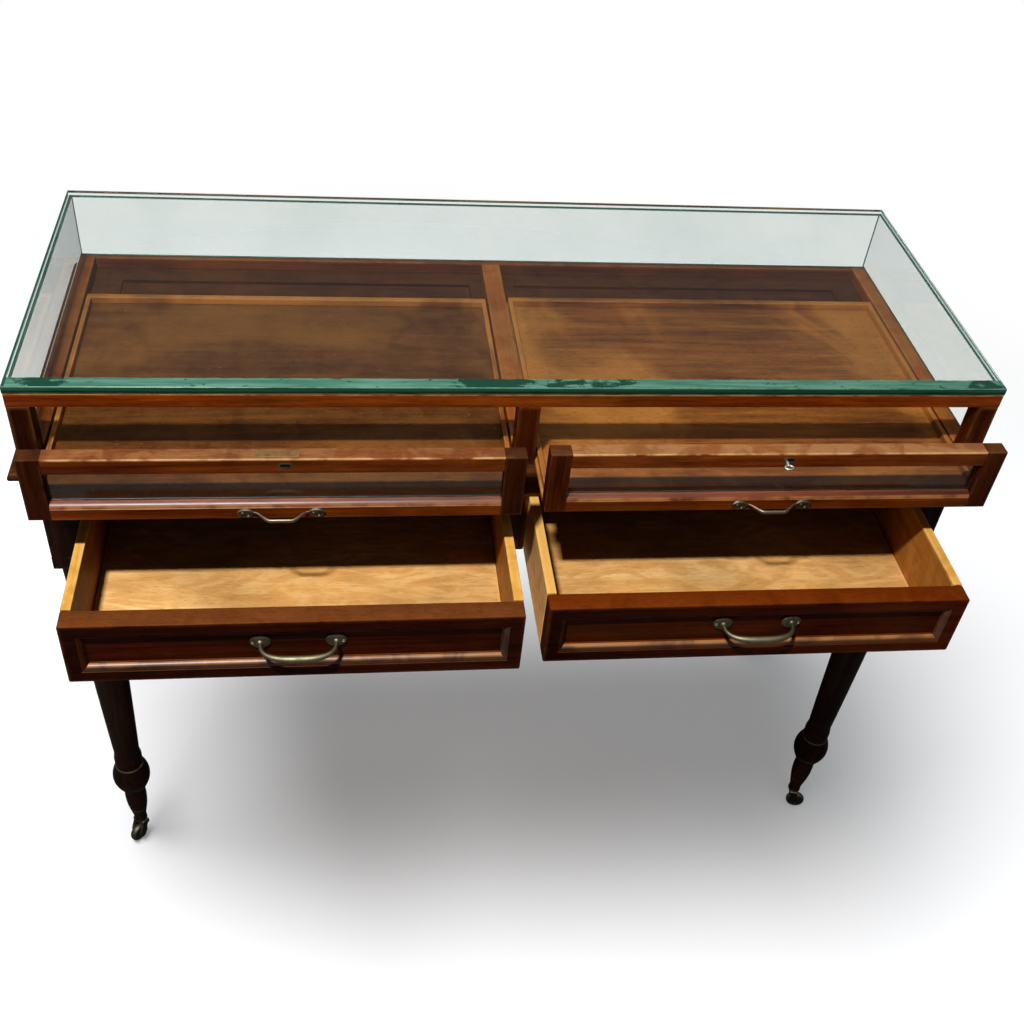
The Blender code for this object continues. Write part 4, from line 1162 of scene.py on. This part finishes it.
def casterWheel(look):
    # Hub, sunk web and rim on both sides of a half-round tread, with an open bore.
    side = look["tread"] / 2.0
    face, sunk = np.array(look["wheelFace"]).T
    angle = np.linspace(math.pi / 2.0, -math.pi / 2.0, 15)
    tread = look["wheel"] - look["round"] + look["round"] * np.cos(angle)
    radii = np.concatenate([face, tread, face[::-1]])
    heights = np.concatenate([side - sunk, side * np.sin(angle), sunk[::-1] - side])
    plain = np.full(len(face), look["faceWear"])
    worn = np.concatenate([plain, weighed(look["treadWear"], 1.0, np.cos(angle)), plain])
    return moved(turned(radii, heights, 48, worn, closed=True), casterAxle(look))


def buildCaster(corner, turn, look):
    low, high = nodeBox("leg_" + corner)
    middle = (low + high) / 2.0
    swivel = Matrix.Translation((middle[0], middle[1], 0.0)) @ Matrix.Rotation(math.radians(turn), 4, "Z")
    fork, wheel = moved(casterFork(look), swivel), moved(casterWheel(look), swivel)
    standFor("caster_fork_" + corner, fork, "caster_" + corner, "brass", [casterMetal])
    standFor("caster_wheel_" + corner, wheel, "wheel_" + corner, "caster_metal", [casterMetal])


for corner, turn in corners.items():
    buildLeg(corner, leg)
    buildCaster(corner, turn, caster)
print("legs and casters set")


# Handles, key and lock fittings

screwLook = {
    "wear": 0.9,
    "slot": 0.22, "above": 0.3, "depth": 0.45,       # shares of the head's radius and of its height
}
bow = {
    "span": 0.088, "reach": 0.028, "droop": 0.0025, "radius": 0.0025, "swell": 1.85, "squareness": 2.8,
    "lower": 0.0035,         # how far it sits below the solid's
    "rose": 0.0105, "roseWide": 0.0250, "roseThick": 0.0042, "boss": 0.0050, "bossOut": 0.0030,
    "screw": (0.0021, 0.0016), "screwAcross": 0.0086, "screwOut": 0.62,
    "wear": (0.25, 0.6), "roseWear": 0.35, "bossWear": 0.5,
}
pull = {
    "span": 0.0815, "reach": 0.015, "arm": 0.020, "radius": 0.0024, "flat": 0.80, "thin": 0.5,
    "pad": 0.0070, "padWide": 0.0200, "padThick": 0.0026, "padBed": 0.4, "lobe": 0.45, "lift": 0.0052,
    "screw": (0.0015, 0.0012), "screwOut": 0.72, "wear": (0.45, 0.4), "padWear": 0.25,
    "screws": [(-0.0034, 0.0022), (0.0030, -0.0034)],        # across and up from each lobe's middle
}


def screwHead(radius, height):
    # A low dome crossed by a slot: its upper points near the middle line are let down.
    head = dome(radius, height, 1.0, screwLook["wear"])
    inSlot = np.abs(head["points"][:, 1]) < radius * screwLook["slot"]
    raised = head["points"][:, 2] > height * screwLook["above"]
    head["points"][inSlot & raised, 2] -= height * screwLook["depth"]
    return head


def bowPath(look):
    # A squarish half oval: across is the cosine and out the sine of the angle, both to the power two over
    # the squareness; it droops as it comes out, and thickens with the cube of the sine.
    angle = np.linspace(0.0, math.pi, 61)
    power = 2.0 / look["squareness"]
    across = -np.sign(np.cos(angle)) * np.abs(np.cos(angle)) ** power * look["span"] / 2.0
    out = np.sin(angle) ** power
    radius = look["radius"]
    path = np.stack([across, -radius - (look["reach"] - radius) * out, -look["droop"] * out], -1)
    return path, radius * (1.0 + (look["swell"] - 1.0) * np.sin(angle) ** 3), np.sin(angle)


def buildBow(side, look):
    node = "drawer_" + side + "_handle"
    low, high = nodeBox(node)
    spot = ((low[0] + high[0]) / 2.0, high[1], high[2] - look["rose"] - look["lower"])
    path, thick, middle = bowPath(look)
    parts = [tube(path, thick, thick, 24, wear=weighed(look["wear"], 1.0, middle))]
    stretch = look["roseWide"] / (2.0 * look["rose"])
    for sign in (-1.0, 1.0):
        out = sign * look["span"] / 2.0
        foot = facing((out, 0.0, 0.0))
        head = facing((out + sign * look["screwAcross"], -look["roseThick"] * look["screwOut"], 0.0))
        parts.append(moved(dome(look["rose"], look["roseThick"], stretch, look["roseWear"]), foot))
        boss = dome(look["boss"], look["roseThick"] + look["bossOut"], 1.0, look["bossWear"])
        parts.append(moved(boss, foot))
        parts.append(moved(screwHead(*look["screw"]), head))
    standFor(node, moved(joined(*parts), Matrix.Translation(spot)), "drawer_" + side, "brass", [brass])


def pullPath(look):
    # Over each lobe the strap follows half an ellipse along the lobe's top. Inside it eases out and sinks
    # to the middle by the same share, thickening as it goes.
    half, reach = look["span"] / 2.0, look["padWide"] * look["lobe"]
    across = np.linspace(-half - reach, half + reach, 81)
    rise = eased(np.clip((half - reach - np.abs(across)) / look["arm"], 0.0, 1.0))
    over = np.clip((np.abs(across) - half) * 2.0 / look["padWide"], -2.0 * look["lobe"], 2.0 * look["lobe"])
    near = look["radius"] * look["thin"] + look["padThick"] * look["padBed"]
    height = look["lift"] * np.sqrt(1.0 - over ** 2) * (1.0 - rise)
    path = np.stack([across, -near - (look["reach"] - near) * rise, height], -1)
    return path, look["radius"] * (look["thin"] + (1.0 - look["thin"]) * rise), rise


def buildPull(side, look):
    node = "tray_" + side + "_handle"
    low, high = nodeBox(node)
    spot = ((low[0] + high[0]) / 2.0, high[1], (low[2] + high[2]) / 2.0)
    path, thick, rise = pullPath(look)
    parts = [tube(path, thick * look["flat"], thick, 20, wear=weighed(look["wear"], 1.0, rise))]
    stretch = look["padWide"] / (2.0 * look["pad"])
    for out in (-look["span"] / 2.0, look["span"] / 2.0):
        pad = dome(look["pad"], look["padThick"], stretch, look["padWear"])
        parts.append(moved(pad, facing((out, 0.0, 0.0))))
        for across, up in look["screws"]:
            head = facing((out + across, -look["padThick"] * look["screwOut"], up))
            parts.append(moved(screwHead(*look["screw"]), head))
    standFor(node, moved(joined(*parts), Matrix.Translation(spot)), "tray_" + side, "brass", [pewter])


key = {
    "shank": 0.0017, "out": 0.0100, "inside": 0.0075, "tip": (0.8, 0.0005),
    "collar": 0.0024, "collarAt": [0.62, 0.56, 0.44, 0.38],      # shares of the way out
    "bow": (0.0052, 0.0036), "wire": (0.0012, 0.00096), "overlap": 0.00084,
    "stemWear": 0.7, "ringWear": 0.8,
}
lock = {
    "at": {"left": -0.291, "right": 0.3055}, "up": 0.55,     # along x, share of the rail's height
    "slotWide": 0.0165, "slotTall": 0.0082, "rim": 0.0020, "proud": 0.0005, "hole": 0.00012, "wear": 0.6,
    "rows": [                # shares of the rim's width and rise
        (1.0, 0.0), (1.0, 0.6), (0.5, 1.0), (0.0, 0.7), (0.0, 0.0)],
}
lockPlate = {"at": -0.2995, "size": (0.048, 0.0110, 0.0003), "edge": 0.0002, "band": 0.001, "rub": 0.35}


def buildKey(look):
    # A turned shank with a collar and an eased end, and a wire carried round a level oval beyond it.
    node = "tray_right_key"
    low, high = nodeBox(node)
    rail = nodeBox("tray_right_top_rail")[0]
    spot = ((low[0] + high[0]) / 2.0, rail[1], (low[2] + high[2]) / 2.0)
    out, inside, shank, collar = (look[name] for name in ("out", "inside", "shank", "collar"))
    tipShare, tip = look["tip"]
    radii = [0.0, shank * tipShare, shank, shank, collar, collar, shank, shank, 0.0]
    heights = [out, out, out - tip, *(out * share for share in look["collarAt"]), -inside, -inside]
    stem = moved(turned(radii, heights, 28, look["stemWear"]), facing((0.0, 0.0, 0.0)))
    angle = circle(48)
    wide, deep = look["bow"]
    away = out + deep - look["overlap"]
    path = np.stack([wide * np.cos(angle), deep * np.sin(angle) - away, 0.0 * angle], -1)
    ring = tube(path, *look["wire"], 16, True, look["ringWear"])
    standFor(node, moved(joined(stem, ring), Matrix.Translation(spot)), "key", "key_steel", [keySteel])


def stadium(wide, tall):
    # A level slot with half-round ends.
    angle = np.linspace(-math.pi / 2.0, math.pi / 2.0, 24)
    right = np.stack([(wide - tall) / 2.0 + tall / 2.0 * np.cos(angle), tall / 2.0 * np.sin(angle)], -1)
    return np.vstack([right, -right])


def buildKeyhole(side, look):
    # A brass rim round the keyhole, its section carried round the slot, and a dark sheet in it as painted
    # shade of the hole.
    body = "tray_" + side
    low, high = nodeBox(body + "_top_rail")
    centre = np.array((look["at"][side], low[1], low[2] + (high[2] - low[2]) * look["up"]))
    outline = stadium(look["slotWide"], look["slotTall"])
    shrink = 1.0 - 2.0 * look["rim"] / np.array((look["slotWide"], look["slotTall"]))
    share, rise = np.array(look["rows"]).T[:, :, None]
    flat = outline * (shrink + (1.0 - shrink) * share[..., None])
    rings = np.stack([flat[..., 0], -rise * look["proud"] + 0.0 * flat[..., 0], flat[..., 1]], -1)
    rim = loft(rings + centre, look["wear"], closed=True)
    put(camel(body) + "KeyholeRim", rim, body, [brass])
    hole = np.stack([rings[-1] - (0.0, look["hole"], 0.0), rings[-1]])
    put(camel(body) + "Keyhole", loft(hole + centre), body, [keyholeShadow])


def buildLockPlate(side, look):
    # The lock's edge plate, a little proud of the top of the rail.
    body = "tray_" + side
    low, high = nodeBox(body + "_top_rail")
    size = np.array(look["size"])
    near = np.array((look["at"], (low[1] + high[1]) / 2.0, high[2])) - size * (0.5, 0.5, 0.0)
    plate = slab(near, near + size, look["edge"], look["band"])
    put(camel(body) + "LockPlate", plate, body, [lockBrass], rub=look["rub"])


for side in ("left", "right"):
    buildBow(side, bow)
    buildPull(side, pull)
buildKey(key)
buildKeyhole("left", lock)
buildKeyhole("right", lock)
buildLockPlate("left", lockPlate)
print("handles, key and locks set")
